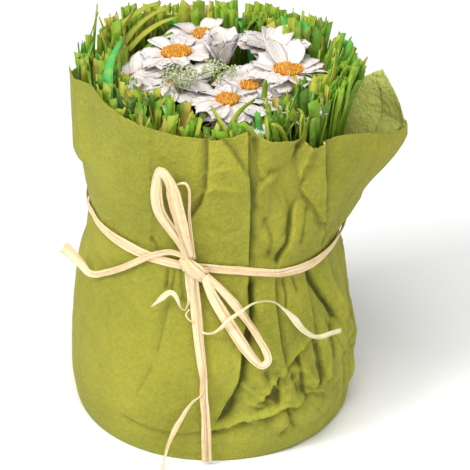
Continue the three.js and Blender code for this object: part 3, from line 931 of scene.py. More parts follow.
def ribbon_sections(line, widths, offset, twist, flutes, front, columns=7):
    """Cross rows of one flat split that follows the line: its width, its sideways
    place, its turn in degrees and how far its flat side turns to the front, all by
    share of the length, and its lengthwise folds."""
    total = line_length(line)
    done = 0.0
    sections = []
    for i, point in enumerate(line):
        if i:
            done += (point - line[i - 1]).length
        share = done / total
        ahead = line[min(i + 1, len(line) - 1)] - line[max(i - 1, 0)]
        ahead.normalize()
        out = facing_out(point).lerp(FRONT, at_share(front, share))
        out = (out - ahead * out.dot(ahead)).normalized()
        side = ahead.cross(out).normalized()
        turn = math.radians(at_share(twist, share))
        across = side * math.cos(turn) + out * math.sin(turn)
        normal = out * math.cos(turn) - side * math.sin(turn)
        width = at_share(widths, share)
        shift = at_share(offset, share)
        row = []
        for c in range(columns):
            s = c / (columns - 1) - 0.5
            lift = flutes[c] * min(1.0, width / 3) + 0.1 * width * (0.25 - s * s)
            row.append(point + across * (s * width + shift) + normal * lift)
        sections.append((row, normal))
    return sections, total


MIDDLE = [(0, 0), (1, 0)]


def add_split(shape, rng, line, widths, offset, twist, lift, nominal, front=MIDDLE):
    """One split of raffia: flat, folded lengthwise, a little uneven in width."""
    flutes = [rng.uniform(-0.22, 0.22) for _ in range(7)]
    wander = [rng.uniform(-0.18, 0.18) for _ in range(12)]
    rough = [(k / 11, at_share(offset, k / 11) + wander[k]) for k in range(12)]
    uneven = [(k / 11, at_share(widths, k / 11) * rng.uniform(0.88, 1.1)) for k in range(12)]
    raised = [point + facing_out(point) * lift for point in line]
    sections, total = ribbon_sections(raised, uneven, rough, twist, flutes, front)
    shape.add_strip(sections, RAFFIA_THICKNESS, rng.random(), total, nominal)


def make_strand(name, node, route, diameter, splits, material, extra=(), front=MIDDLE):
    """One free raffia strand, made of flat splits lying side by side."""
    rng = random.Random(name)
    line = smooth_route([before_wrap(*point) for point in route], 1.1)
    shape = Shape()
    for widths, offset, twist, lift in splits:
        add_split(shape, rng, line, widths, offset, twist, lift, diameter * 0.7, front)
    for thread in extra:
        thread_line = smooth_route([before_wrap(*point) for point in thread], 0.9)
        add_split(shape, rng, thread_line, [(0, 0.8), (1, 0.6)], MIDDLE, MIDDLE, 0, 1.0)
    piece = settle(shape.make(name, material), "raffia", node)
    return piece


STRAY_THREAD = [
    (-10.4, 85.4, 3.4), (-11.6, 83.6, 3.6), (-11.9, 82, 3.8), (-10.6, 80.5, 3.8), (-8.1, 78.9, 3.6),
]


def make_raffia():
    # Each split: width, sideways place and turn by share of its length, and its lift.
    make_strand("bow_upper_loop", "raffia_upper_loop", UPPER_LOOP, 7.0, [
        ([(0, 2.8), (0.16, 4.0), (0.3, 5.2), (0.4, 5.6), (0.47, 4.2), (0.5, 5.8), (0.56, 4.6), (0.7, 5.2),
          (0.85, 4.2), (1, 2.8)],
         [(0, -0.4), (0.2, -0.8), (0.36, -0.9), (0.48, -0.3), (0.7, 0.2), (1, -0.4)],
         [(0, 8), (0.4, 10), (0.5, 34), (0.58, 8), (1, 4)], 0.2),
        ([(0, 1.6), (0.2, 1.9), (0.38, 2.4), (0.48, 2.6), (0.62, 3.0), (0.8, 3.0), (1, 2.0)],
         [(0, 1.4), (0.2, 1.7), (0.38, 1.9), (0.48, 1.0), (0.62, -2.6), (0.8, -2.4), (1, -1.2)],
         [(0, -10), (0.4, 10), (0.52, 30), (0.6, -14), (1, -12)], -0.4),
        ([(0, 1.0), (0.3, 1.0), (0.5, 1.6), (0.7, 1.1), (1, 0.9)],
         [(0, -1.4), (0.3, -2.8), (0.42, -2.9), (0.52, -1.4), (0.64, 2.3), (0.8, 2.0), (1, 0.8)],
         [(0, 20), (0.5, 40), (1, 20)], 0.7),
    ], RAFFIA)
    make_strand("bow_small_loop", "raffia_small_loop", SMALL_LOOP, 2.0, [
        ([(0, 1.5), (0.3, 1.6), (0.45, 1.2), (0.6, 1.3), (1, 1.6)], MIDDLE,
         [(0, 10), (0.45, 50), (0.6, 30), (1, 10)], 0),
    ], RAFFIA)
    make_strand("bow_lower_loop", "raffia_lower_loop", LOWER_LOOP, 5.4, [
        ([(0, 3.4), (0.2, 4.4), (0.42, 4.2), (0.5, 2.8), (0.56, 3.6), (0.72, 3.0), (0.85, 3.6), (1, 2.8)],
         [(0, 0.2), (0.3, 0.4), (0.5, 0.2), (0.8, -0.1), (1, 0.2)],
         [(0, 6), (0.42, 8), (0.49, 44), (0.56, 10), (0.72, 34), (0.8, 8), (1, 4)], 0.2),
        ([(0, 1.4), (0.3, 1.9), (0.5, 2.0), (0.7, 1.6), (1, 1.4)],
         [(0, -1.9), (0.3, -2.2), (0.48, -0.8), (0.56, 0.8), (0.8, 2.0), (1, 1.4)],
         [(0, -10), (0.5, 30), (0.6, -5), (1, -15)], -0.2),
    ], RAFFIA)
    make_strand("bow_left_tail", "raffia_left_tail", LEFT_TAIL, 4.8, [
        ([(0, 2.0), (0.2, 2.6), (0.45, 2.8), (0.6, 2.6), (0.68, 2.4), (0.8, 4.0), (0.92, 5.4), (1, 5.6)],
         MIDDLE,
         [(0, 8), (0.3, 0), (0.6, 4), (0.66, 36), (0.74, 6), (1, 4)], 0),
        ([(0, 1.2), (0.4, 1.0), (0.6, 1.2), (0.75, 1.4), (1, 1.2)],
         [(0, 1.6), (0.4, 1.2), (0.6, 1.3), (1, 1.6)], [(0, 0), (1, 16)], 0.3),
    ], RAFFIA, (), [(0, 0), (0.6, 0), (0.76, 1), (1, 1)])
    make_strand("bow_long_tail", "raffia_long_tail", LONG_TAIL, 6.4, [
        ([(0, 3.0), (0.2, 3.6), (0.45, 3.8), (0.53, 2.8), (0.62, 2.8), (0.72, 2.6), (1, 2.6)],
         [(0, 0.9), (0.4, 0.5), (0.53, 0.4), (0.66, 0.9), (1, 1.5)],
         [(0, -6), (0.44, 4), (0.52, 26), (0.6, 4), (1, 2)], 0.2),
        ([(0, 1.4), (0.3, 1.6), (0.5, 1.3), (0.62, 1.5), (0.72, 2.0), (1, 1.9)],
         [(0, -1.7), (0.3, -1.9), (0.5, -1.2), (0.62, -0.8), (0.74, -1.3), (1, -1.3)],
         [(0, 12), (0.5, 24), (0.6, -8), (1, -8)], 0),
        ([(0, 0.7), (0.5, 0.8), (0.8, 0.9), (1, 0.8)], [(0, -0.2), (0.5, -0.3), (0.75, 0.1), (1, 0.1)],
         [(0, 30), (0.5, 20), (1, 30)], 0.5),
    ], RAFFIA, [STRAY_THREAD])
    make_strand("bow_thin_tail", "raffia_thin_tail", THIN_TAIL, 2.8, [
        ([(0, 0.9), (0.16, 1.2), (0.35, 2.0), (0.5, 2.8), (0.66, 2.0), (0.85, 1.2), (1, 0.8)], MIDDLE,
         [(0, 60), (0.2, 20), (0.5, 0), (1, 20)], 0),
    ], RAFFIA)
    make_strand("bow_right_curl", "raffia_right_curl", RIGHT_CURL, 3.0, [
        ([(0, 1.4), (0.22, 1.2), (0.3, 0.8), (0.38, 2.8), (0.46, 1.2), (0.56, 0.7), (0.64, 1.4),
          (0.72, 3.6), (0.8, 3.0), (0.86, 1.8), (0.92, 2.8), (1, 2.8)], MIDDLE,
         [(0, 0), (0.28, 60), (0.38, 5), (0.48, 70), (0.62, 60), (0.72, 0), (0.82, 20), (0.86, 60),
          (0.92, 10), (1, 0)], 0),
    ], PALE_RAFFIA)
    make_strand("bow_left_curl", "raffia_left_curl", LEFT_CURL, 3.0, [
        ([(0, 2.4), (0.25, 2.6), (0.4, 1.2), (0.48, 1.0), (0.6, 2.6), (0.72, 2.4), (0.8, 3.0), (1, 0.6)],
         MIDDLE,
         [(0, 0), (0.3, 15), (0.44, 70), (0.58, 20), (0.72, -20), (1, 10)], 0),
    ], PALE_RAFFIA)


def band_point(degrees, lift, rise):
    """On the tie round the waist, which dips towards the ear and the back."""
    height = float(read_table(TIE_HEIGHT, degrees)) + rise
    radius = float(wrap_radius(np.array(float(degrees)), np.array(height))) + 1.0 + lift
    angle = math.radians(degrees - 90)
    return Vector((radius * math.cos(angle), radius * math.sin(angle), height))


def make_band():
    shape = Shape()
    rng = random.Random(SEED)
    around = [
        (-180, 0), (-70, 0.5), (-40, 1.3), (-15, 0.3), (25, 0.1), (46, 1.1), (70, 0.6), (90, 0.2), (180, 0),
    ]
    # width, side of the tie (+1 upper), lift of each split
    for width, place, lift in [(3.1, 0.5, 0.1), (2.6, -0.9, -0.2), (1.5, 1.3, 0.35)]:
        line = []
        for step in range(241):
            degrees = -180 + step * 1.5
            spread = at_share(around, degrees)
            wave = 0.3 * math.sin(math.radians(degrees * 3) + place * 2)
            line.append(band_point(degrees, lift, place * (0.75 + spread) + wave))
        turns = [(0, 4), (0.2, -8), (0.36, 10), (0.5, -4), (0.62, 16), (0.7, -10), (0.85, 8), (1, 4)]
        widths = [(0, width), (0.3, width * 1.1), (0.42, width * 0.9), (0.55, width), (0.65, width * 0.7),
                  (0.75, width), (1, width)]
        add_split(shape, rng, line, widths, MIDDLE, turns, 0, 3.0)
    return settle(shape.make("waist_tie", RAFFIA), "raffia", "raffia_band")


def make_knot():
    """The bow's knot: splits wrapped slantwise over each other."""
    middle = before_wrap(-7.6, 106.5, 4.6)
    out = facing_out(middle)
    shape = Shape()
    rng = random.Random(SEED + 4)
    # turn of the wrap in degrees, sideways place, width, half length, height of the arch
    wraps = [
        (-10, -0.4, 5.0, 6.4, 2.0), (-46, -2.3, 3.4, 8.4, 2.7), (-46, 1.0, 3.2, 8.8, 3.1),
        (-40, 3.2, 2.0, 6.6, 2.4), (-52, -0.8, 1.6, 8.2, 3.5), (38, -3.4, 2.4, 3.6, 3.0),
    ]
    for turn, place, width, half, arch in wraps:
        lean = math.radians(turn)
        run = Vector((math.cos(lean), 0, math.sin(lean)))
        side = Vector((-math.sin(lean), 0, math.cos(lean)))
        line, steps = [], 16
        for step in range(steps + 1):
            along = -1 + 2 * step / steps
            rise = arch * math.cos(along * math.pi / 2) ** 0.7 - 1.6
            line.append(middle + run * (half * along) + side * (place * (1 - 0.35 * abs(along))) + out * rise)
        widths = [(0, width * 0.75), (0.5, width), (1, width * 0.7)]
        add_split(shape, rng, line, widths, MIDDLE, [(0, -12), (1, 12)], 0, 3.0)
    return settle(shape.make("bow_knot", RAFFIA), "raffia", "raffia_knot")


# ---------------------------------------------------------------- grass

GRASS_TOP = [
    (-180, 188), (-150, 189), (-128, 191), (-110, 194), (-90, 192), (-72, 189), (-55, 188),
    (-40, 187), (-22, 186), (-10, 183), (-4, 178), (12, 177), (20, 181), (30, 184), (45, 186),
    (55, 187), (75, 187), (100, 185), (120, 188), (150, 188), (180, 188),
]
GRASS_LEAN = [
    (-180, 4), (-100, 4), (-85, 2), (-50, 1.2), (0, 1.2), (36, 1.5), (48, 4), (60, 8), (85, 14),
    (104, 12), (122, 9), (142, 6), (180, 4),
]
GRASS_FOOT = 132.0
BUNDLES = 10
BLADE_THICKNESS = 0.35


def ring_point(degrees, radius, height):
    angle = math.radians(degrees - 90)
    return Vector((radius * math.cos(angle), radius * math.sin(angle), height))


def add_blade(shape, rng, line, width, turn, tint, tip):
    """A shaved blade along the line. tip is its width at the end over its full width."""
    sections = []
    last = len(line) - 1
    bow = rng.uniform(-0.22, 0.22)
    for i, point in enumerate(line):
        share = i / last
        ahead = (line[min(i + 1, last)] - line[max(i - 1, 0)]).normalized()
        out = facing_out(point)
        facing = (out - ahead * out.dot(ahead)).normalized()
        side = ahead.cross(facing).normalized()
        spin = turn + rng.uniform(-0.05, 0.05)
        across = side * math.cos(spin) + facing * math.sin(spin)
        normal = facing * math.cos(spin) - side * math.sin(spin)
        half = width / 2 * (1 - (1 - tip) * share ** 2.2) * rng.uniform(0.93, 1.05)
        row = [point + across * (half * k) + normal * (bow * width * (1 - k * k)) for k in (-1, 0, 1)]
        if i == last:
            cut = rng.uniform(-0.3, 0.3) * width
            row = [p + ahead * (cut * k) for p, k in zip(row, (-1, 0, 1))]
        sections.append((row, normal))
    shape.add_strip(sections, BLADE_THICKNESS, tint, line_length(line), width)


def standing_blade(shape, rng, degrees, radius, top, width, out, sideways, turn, tint, tip, curl=0.0):
    """A blade that stands in the ring and leans out and sideways towards its top."""
    line = []
    steps = 9
    crimp = rng.uniform(0.0, 1.5)
    beat = rng.uniform(5, 13)
    for step in range(steps + 1):
        share = step / steps
        sway = share ** 1.8
        height = GRASS_FOOT + (top - GRASS_FOOT) * (share - 0.1 * abs(curl) * share ** 6)
        across = sideways * sway + curl * 9 * share ** 5
        wave = crimp * math.sin(share * beat + degrees)
        place = ring_point(degrees, radius + out * sway + wave * share, height)
        around = Vector((-math.sin(math.radians(degrees - 90)), math.cos(math.radians(degrees - 90)), 0))
        line.append(place + around * across)
    add_blade(shape, rng, line, width, turn, tint, tip)


def blade_tint(rng, green):
    pick = rng.random()
    if pick < 0.14:
        return rng.uniform(0.0, 0.2)
    if pick < 0.14 + 0.4 * green:
        return rng.uniform(0.2, 0.42)
    if pick < 0.9:
        return rng.uniform(0.48, 0.78)
    if pick < 0.94:
        return rng.uniform(0.8, 0.86)
    return rng.uniform(0.92, 1.0)


# Broad or long blades that stand out from the ring:
# width, turn in degrees, tint, tip, [(degrees, radius, height) along the blade]
LONG_BLADES = [
    (2.4, 30, 0.50, 0.2, [(-108, 62, 160), (-111, 62, 182), (-116, 62, 202)]),
    (3.2, 10, 0.66, 0.4, [(-114, 57, 160), (-121, 55.5, 180), (-134, 52, 196)]),
    (2.8, -20, 0.10, 0.3, [(-104, 63, 165), (-108, 63, 184), (-113, 60, 199)]),
    (6.2, -50, 0.99, 0.5, [(-57, 59.5, 165), (-58.5, 57.5, 181), (-67, 52, 192), (-79, 43.5, 199)]),
    (3.4, -40, 0.94, 0.4, [(-83, 61, 165), (-86, 61, 182), (-92, 57, 193)]),
    (3.0, 35, 0.30, 0.3, [(80, 60, 165), (84, 66, 184), (92, 70, 190)]),
    (3.8, 20, 0.62, 0.5, [(66, 59, 165), (70, 62, 186), (80, 61, 194)]),
    (4.2, -35, 0.24, 0.6, [(44, 57, 160), (49, 57, 178), (58, 50, 187)]),
    (4.4, 0, 0.97, 0.5, [(-91, 63, 160), (-93, 64, 177), (-97, 63, 190.5)]),
    (3.4, 70, 0.62, 0.5, [(-122, 54, 176), (-134, 52.5, 185), (-146, 52, 189.5), (-156, 52, 190.5)]),
    (3.0, 65, 0.70, 0.5, [(-126, 51, 176), (-138, 49.5, 182), (-150, 49, 185.5), (-160, 49, 186.5)]),
    (3.6, 75, 0.56, 0.6, [(-116, 56, 178), (-128, 55, 188), (-142, 54, 193), (-152, 54, 193.5)]),
    (2.6, 60, 0.36, 0.5, [(-130, 49, 170), (-142, 47, 177), (-155, 46, 180)]),
    (5.4, 20, 0.58, 0.9, [(-160, 55, 165), (-164, 55, 182), (-166, 54, 192)]),
    (5.2, -10, 0.40, 0.95, [(-172, 56, 165), (-173, 56, 182), (-174, 54.5, 191.5)]),
    (3.0, 30, 0.08, 0.3, [(-84, 62, 160), (-87, 63, 176), (-91, 61, 188)]),
    (3.4, 0, 0.46, 0.3, [(8, 58, 165), (10.5, 55, 177), (15.6, 52, 182), (25.5, 48.8, 185)]),
    (3.0, 20, 0.58, 0.3, [(7, 60, 165), (6.4, 58.4, 176), (3.5, 54.5, 181), (0.6, 50, 184.5)]),
    (3.6, 10, 0.42, 0.5, [(40, 38, 172), (41, 39, 183), (39, 41, 189)]),
    (2.8, 10, 0.62, 0.3, [(-1, 58, 160), (-4, 57, 172), (-9, 54, 180)]),
    (3.6, 5, 0.60, 0.5, [(-48, 52, 162), (-50, 52, 174), (-55, 49, 183)]),
    (3.2, 30, 0.46, 0.6, [(-30, 57, 160), (-24, 58, 172), (-18, 58, 180)]),
]


# Rows of single blades: radius, how many all the way round, how far below the top line.
GRASS_ROWS = [
    (61, 118, 2), (58.5, 120, 0), (56, 116, 0), (53.5, 110, 1),
    (50.5, 100, 2), (47.5, 96, 3), (44.5, 90, 4), (41, 76, 6),
]


STRIP_STEP = 1.9


def make_grass():
    rng = random.Random(SEED + 7)
    shapes = [Shape() for _ in range(BUNDLES)]
    sweep = 360 / BUNDLES

    def bundle_at(degrees):
        return shapes[int((degrees % 360) // sweep) % BUNDLES]

    # Pleated blocks of square-cut strips, all the way round the back and the right.
    degrees = 62.0
    while degrees < 232:
        around = degrees if degrees <= 180 else degrees - 360
        strips = rng.randint(4, 8)
        top = float(read_table(GRASS_TOP, around)) + rng.uniform(-3.5, 2.0)
        out = float(read_table(GRASS_LEAN, around)) + rng.uniform(-2, 1.5)
        tint = blade_tint(rng, 0.8)
        side = rng.uniform(-2.5, 2.5)
        width = rng.uniform(2.2, 4.2)
        for strip in range(strips):
            zigzag = 0.75 if strip % 2 else -0.75
            place = around + strip * STRIP_STEP
            for radius, drop in ((60.5, 0), (56.0, 3)):
                height = top - drop + rng.uniform(-1.2, 1.2)
                turn = zigzag + rng.uniform(-0.15, 0.15)
                shade = min(1.0, max(0.0, tint + rng.uniform(-0.05, 0.05)))
                standing_blade(bundle_at(place), rng, place, radius, height, width,
                               out * (0.9 if drop else 1.0), side, turn, shade, 1.0)
        degrees += strips * STRIP_STEP + rng.uniform(0.3, 2.0)
    # Single blades in rows, thick and tangled in front.
    for radius, count, drop in GRASS_ROWS:
        for k in range(count):
            place = -180 + 360 * (k + rng.random()) / count
            front = -100 < place < 72
            daisy_gap = -16 < place < 33
            if radius < 52 and (not front or daisy_gap):
                continue
            if radius < 44 and not -72 < place < -18:
                continue
            if radius < 57 and daisy_gap and -8 < place < 24:
                continue
            if abs(place) > 100 and rng.random() < 0.45:
                continue
            top = float(read_table(GRASS_TOP, place)) - drop + rng.uniform(-6, 3)
            out = float(read_table(GRASS_LEAN, place)) * rng.uniform(0.5, 1.0) - (0 if radius > 58 else 3.5)
            tangle = 8.0 if front else 6.5
            tip = rng.choice((1.0, 1.0, 0.8, 0.45, 0.2))
            inset = rng.uniform(-1, 0.4)
            width = rng.uniform(2.4, 5.2)
            if 50 < place < 135:
                width += 1.1
                tip = max(tip, 0.75)
            standing_blade(bundle_at(place), rng, place, radius + inset, top, width,
                           out, rng.gauss(0, tangle), rng.gauss(0, 0.75), blade_tint(rng, 1.0), tip,
                           rng.uniform(-0.9, 0.9) if rng.random() < 0.5 else 0.0)
    for width, turn, tint, tip, points in LONG_BLADES:
        line = smooth_route([ring_point(*point) for point in points], 3.0)
        add_blade(bundle_at(points[0][0]), rng, line, width, math.radians(turn), tint, tip)
    for bundle, shape in enumerate(shapes):
        settle(shape.make(f"shavings_{bundle + 1}", GRASS), "grass", f"grass_bundle_{bundle + 1}")


# ---------------------------------------------------------------- daisies


class Daisy:
    """One paper daisy: which way it faces, how far its petals reach, how many it has
    in a layer, how they rise and droop in degrees, how wide its centre is and how
    high its tuft stands, and how many degrees more its back petals rise."""

    def __init__(self, number, face, reach, petals, rise, droop, centre, width=9.6, wild=1.0, shift=(0, 0, 0),
                 tuft=2.7, lift_back=0):
        self.number = number
        self.face = Vector(face).normalized()
        self.reach = reach
        self.petals = petals
        self.rise = rise
        self.droop = droop
        self.centre = centre
        self.width = width
        self.wild = wild
        self.shift = Vector(shift)
        self.tuft = tuft
        self.lift_back = lift_back


DAISIES = [
    Daisy(1, (-0.02, 0.02, 1), 19, 9, 6, 8, 5.2, 10.2),
    Daisy(2, (-0.05, 0.04, 1), 20, 10, 4, 8, 7.5, 10.4),
    Daisy(3, (0.03, 0.02, 1), 20, 9, 10, 14, 7.2, 10.6, 1.3, lift_back=36),
    Daisy(4, (0.05, 0.0, 1), 18, 9, 8, 14, 4.7, 10.2, lift_back=10),
    Daisy(5, (0.0, -0.02, 1), 20, 9, 0, 26, 5.5, 10.6, 1.1),
    Daisy(6, (0.02, 0.0, 1), 20, 6, 84, 38, 3.4, 12.0, 0.6, (-1.5, -9, -6.5)),
    Daisy(7, (0.1, 0.0, 1), 20, 9, 22, 24, 2.6, 11.0, 1.4, (0, 0, -2), tuft=0.9, lift_back=15),
    Daisy(8, (-0.15, -0.05, 1), 20, 10, 12, 16, 2.4, 11.0, 1.3, (0, 0, -1), tuft=0.9),
    Daisy(9, (0.1, -0.05, 1), 19, 10, 10, 18, 2.4, 11.0, 1.3, (0, 0, 0), tuft=0.9),
    Daisy(10, (0.1, -0.1, 1), 18, 9, 8, 30, 2.4, 11.0, 1.2, (0, 0, 0), tuft=0.9),
    Daisy(11, (-0.1, -0.1, 1), 22, 11, 6, 16, 2.6, 11.5, 1.3, (3, -8, 5), tuft=0.9),
]
LAYERS = 2


def frame_of(face):
    side = face.cross(Vector((0.13, 1.0, 0.2))).normalized()
    return side, face.cross(side).normalized(), face


PETAL_OUTLINE = [
    (0, 0.36), (0.14, 0.54), (0.36, 0.84), (0.58, 1.0), (0.78, 0.98), (0.9, 0.8), (0.97, 0.5), (1.0, 0.24),
]


def add_petal(shape, rng, centre, axes, turn, root, length, width, rise, droop, wild):
    side_axis, front_axis, face = axes
    out = side_axis * math.cos(turn) + front_axis * math.sin(turn)
    round_way = face.cross(out).normalized()
    steps, columns = 11, 9
    place = centre + out * root
    slope = math.radians(rise)
    turn_down = math.radians(droop) / steps
    step_length = length / steps
    cup = rng.uniform(-0.15, 0.28)
    twist = rng.uniform(-0.35, 0.35) * wild
    lean = rng.uniform(-0.2, 0.2) * wild
    folds = [rng.uniform(-0.38, 0.38) for _ in range(columns)]
    folds[columns // 2] -= 0.35
    ragged = [rng.uniform(0.95, 1.04) for _ in range(steps + 1)]
    tip_ragged = [rng.uniform(-0.8, 0.4) for _ in range(columns)]
    lumps = [(rng.uniform(0.9, 1.8), rng.uniform(0, 6), rng.uniform(0.08, 0.3)) for _ in range(2)]
    sections = []
    for s in range(steps + 1):
        share = s / steps
        if s:
            heading = out * math.cos(slope) + face * math.sin(slope) + round_way * (lean * share)
            place = place + heading.normalized() * step_length
            slope -= turn_down * (0.3 + 1.4 * share)
        normal = (face * math.cos(slope) - out * math.sin(slope)).normalized()
        half = width / 2 * at_share(PETAL_OUTLINE, share) * ragged[s]
        spin = twist * share
        across = round_way * math.cos(spin) + normal * math.sin(spin)
        along = (out * math.cos(slope) + face * math.sin(slope)).normalized()
        row = []
        for c in range(columns):
            k = c / (columns - 1) * 2 - 1
            lump = sum(h * math.sin(place.x * f + place.y * f * 0.7 + p) for f, p, h in lumps)
            lift = cup * half * k * k + folds[c] * min(1, 0.25 + share * 1.3) + lump
            point = place + across * (k * half) + normal * lift - along * (1.1 * k * k * share)
            if s == steps:
                point += along * tip_ragged[c] * 0.6
            row.append(point)
        sections.append((row, normal))
    shape.add_strip(sections, 0.28, rng.random(), length, width)


def make_petals(daisy, centre):
    rng = random.Random(SEED * 100 + daisy.number)
    axes = frame_of(daisy.face)
    shape = Shape()
    root = daisy.centre * 0.6
    for layer in range(LAYERS):
        for petal in range(daisy.petals):
            turn = 2 * math.pi * (petal + 0.5 * layer + rng.uniform(-0.28, 0.28) * daisy.wild) / daisy.petals
            length = (daisy.reach - root) * rng.uniform(0.84, 1.08)
            behind = max(0.0, (axes[0] * math.cos(turn) + axes[1] * math.sin(turn)).y)
            rise = daisy.rise + daisy.lift_back * behind + rng.uniform(-9, 11) * daisy.wild - 4 * layer
            add_petal(shape, rng, centre - daisy.face * (0.7 * layer - 0.4), axes, turn, root, length,
                      daisy.width * rng.uniform(0.8, 1.12), rise,
                      daisy.droop + rng.uniform(-12, 14) * daisy.wild, daisy.wild)
    name = f"daisy_{daisy.number}"
    return settle(shape.make(f"{name}_white_petals", PETALS), "petals", f"{name}_petals")


GOLDEN_TURN = 2.399963


def make_tufts(daisy, centre):
    """The daisy's centre: a tight roll of fine fringe, each thread its own sliver."""
    rng = random.Random(SEED * 200 + daisy.number)
    side_axis, front_axis, face = frame_of(daisy.face)
    shape = Shape()
    count = int(105 * (daisy.centre / 5) ** 1.8)
    for k in range(count):
        share = math.sqrt((k + 0.5) / count)
        turn = k * GOLDEN_TURN
        flat = side_axis * math.cos(turn) + front_axis * math.sin(turn)
        root = centre + flat * (daisy.centre * share * 0.94)
        splay = 0.22 * share * share + rng.uniform(-0.09, 0.09)
        heading = (face + flat * splay).normalized()
        height = (daisy.tuft + 0.4 * (1 - share * share)) * rng.uniform(0.85, 1.1)
        round_way = face.cross(flat).normalized()
        spin = rng.uniform(-0.5, 0.5)
        across = (round_way * math.cos(spin) + flat * math.sin(spin)).normalized()
        normal = heading.cross(across).normalized()
        tint = min(1.0, max(0.0, 0.25 + 0.7 * rng.random()))
        sections = []
        for s, width in enumerate((0.8, 0.85, 0.7)):
            point = root + heading * (height * s / 2)
            row = [point - across * width / 2, point + across * width / 2]
            sections.append((row, normal))
        shape.add_strip(sections, 0.42, tint, height, 0.8)
    # The stub of rolled fringe that the threads stand on.
    steps = 16
    base = shape.add_point(centre - face * 1.5, 0.1, 0, 0)
    first = base + 1
    for size, rise in ((0.7, -1.4), (0.95, 0.2), (0.9, daisy.tuft * 0.55)):
        for s in range(steps):
            turn = 2 * math.pi * s / steps
            flat = side_axis * math.cos(turn) + front_axis * math.sin(turn)
            shape.add_point(centre + flat * (daisy.centre * size) + face * rise, 0.2, 1.0, s)
    top = shape.add_point(centre + face * (daisy.tuft * 0.6), 0.2, 1.0, 0)
    for s in range(steps):
        after = (s + 1) % steps
        shape.faces.append((base, first + after, first + s))
        for ring in range(2):
            a, b = first + ring * steps, first + (ring + 1) * steps
            shape.faces.append((a + s, a + after, b + after, b + s))
        shape.faces.append((top, first + 2 * steps + s, first + 2 * steps + after))
    name = f"daisy_{daisy.number}"
    return settle(shape.make(f"{name}_tufts", CENTRES), "daisy_centres", f"{name}_centre")


def make_daisies():
    for daisy in DAISIES:
        low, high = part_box(f"daisy_{daisy.number}_centre")
        seat = Vector(((low[0] + high[0]) / 2, (low[1] + high[1]) / 2, low[2])) / MM + daisy.shift
        make_petals(daisy, seat)
        make_tufts(daisy, seat)


# ---------------------------------------------------------------- filler sprigs


def add_bud(shape, rng, centre, size, tint):
    """A tiny five-sided bud: closed, pointed at both ends."""
    lean = Vector((rng.uniform(-0.6, 0.6), rng.uniform(-0.6, 0.6), 1)).normalized()
    side = lean.orthogonal().normalized()
    other = lean.cross(side)
    bottom = shape.add_point(centre - lean * size * 0.7, tint * 0.6, 0, 0)
    top = shape.add_point(centre + lean * size * 0.8, tint, 1, 0)
    ring = []
    for k in range(5):
        turn = 2 * math.pi * k / 5
        spot = centre + (side * math.cos(turn) + other * math.sin(turn)) * size * rng.uniform(0.45, 0.7)
        ring.append(shape.add_point(spot, tint * rng.uniform(0.75, 1.0), 0.5, k))
    for k in range(5):
        after = (k + 1) % 5
        shape.faces.append((bottom, ring[after], ring[k]))
        shape.faces.append((top, ring[k], ring[after]))


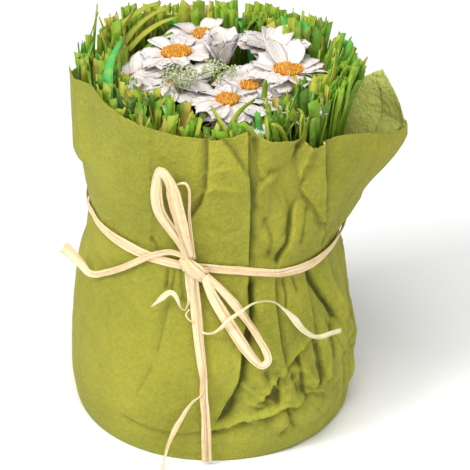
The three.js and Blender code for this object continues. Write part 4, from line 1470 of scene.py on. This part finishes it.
def make_sprig(number, spread, buds, lower):
    low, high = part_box(f"filler_sprig_{number}")
    middle = Vector(((low[0] + high[0]) / 2, (low[1] + high[1]) / 2, high[2])) / MM - Vector((-1.5, 0, lower))
    foot = Vector((middle.x, middle.y, low[2] / MM))
    fork = middle - Vector((0, 0, 14))
    rng = random.Random(SEED * 300 + number)
    shape = Shape()
    stem_rows = []
    for share in (0, 0.5, 1):
        point = foot.lerp(fork, share)
        stem_rows.append(([point - Vector((0.5, 0, 0)), point + Vector((0.5, 0, 0))], Vector((0, 1, 0))))
    shape.add_strip(stem_rows, 0.9, 0.1, 80, 1.0)
    for k in range(buds):
        share = math.sqrt((k + 0.5) / buds)
        turn = k * GOLDEN_TURN + rng.uniform(-0.3, 0.3)
        reach = share * spread
        lump = 1.3 * math.sin(turn * 3 + number) + rng.uniform(-1.4, 1.4)
        rise = -2.6 * share * share + lump
        tip = middle + Vector((reach * math.cos(turn), reach * math.sin(turn) * 0.8, rise))
        if k % 2 == 0:
            side = (tip - fork).cross(Vector((0, 0, 1))).normalized() * 0.16
            halfway = fork.lerp(tip, 0.55) - Vector((0, 0, 1.2))
            rows = [([p - side, p + side], Vector((0, -0.6, 0.8))) for p in (fork, halfway, tip)]
            shape.add_strip(rows, 0.26, 0.25, 18, 0.4)
        for _ in range(3):
            jitter = Vector((rng.gauss(0, 0.9), rng.gauss(0, 0.9), rng.gauss(0, 0.8)))
            add_bud(shape, rng, tip + jitter, rng.uniform(0.6, 1.1), rng.uniform(0.4, 1.0))
    name = f"filler_sprig_{number}"
    return settle(shape.make(f"{name}_buds", FILLER), "filler", name)


# ---------------------------------------------------------------- build

make_raffia()
make_band()
make_knot()

wrap = settle(make_wrap(PAPER, INNER_PAPER_PAINTED_LIT), "mulberry_paper", "paper_wrap")

make_grass()
make_daisies()
make_sprig(1, 9.0, 84, 5.5)
make_sprig(2, 9.5, 56, 6.5)

for daisy in DAISIES:
    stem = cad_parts[f"daisy_{daisy.number}_stem"]
    for slot in stem.material_slots:
        slot.material = STEMS
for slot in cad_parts["foam_core"].material_slots:
    slot.material = FOAM


# ---------------------------------------------------------------- floor and light


def make_floor():
    half = 3.0
    mesh = bpy.data.meshes.new("floor")
    corners = [(-half, -half, 0), (half, -half, 0), (half, half, 0), (-half, half, 0)]
    mesh.from_pydata(corners, [], [(0, 1, 2, 3)])
    material, _, shader = new_material("pale_floor", 0.9)
    shader.inputs["Base Color"].default_value = (0.94, 0.94, 0.94, 1)
    finish_mesh("floor", mesh, material, smooth=False)


def make_light(name, place, size, power):
    data = bpy.data.lights.new(name, "AREA")
    data.shape = "SQUARE"
    data.size = size
    data.energy = power
    light = bpy.data.objects.new(name, data)
    bpy.context.collection.objects.link(light)
    light.location = place
    aim = Vector((0, 0, 0.1)) - Vector(place)
    light.rotation_euler = aim.to_track_quat("-Z", "Y").to_euler()


def make_world(strength):
    world = bpy.data.worlds.new("studio")
    world.use_nodes = True
    background = world.node_tree.nodes["Background"]
    background.inputs["Color"].default_value = (1, 1, 1, 1)
    background.inputs["Strength"].default_value = strength
    bpy.context.scene.world = world


make_floor()
make_light("key", (-2.2, -1.5, 2.3), 0.9, 54)
make_light("top", (-0.4, -1.1, 2.6), 1.6, 46)
make_light("fill", (1.4, -2.8, 1.4), 1.8, 26)
make_world(0.46)
bpy.context.scene.view_settings.view_transform = "Standard"
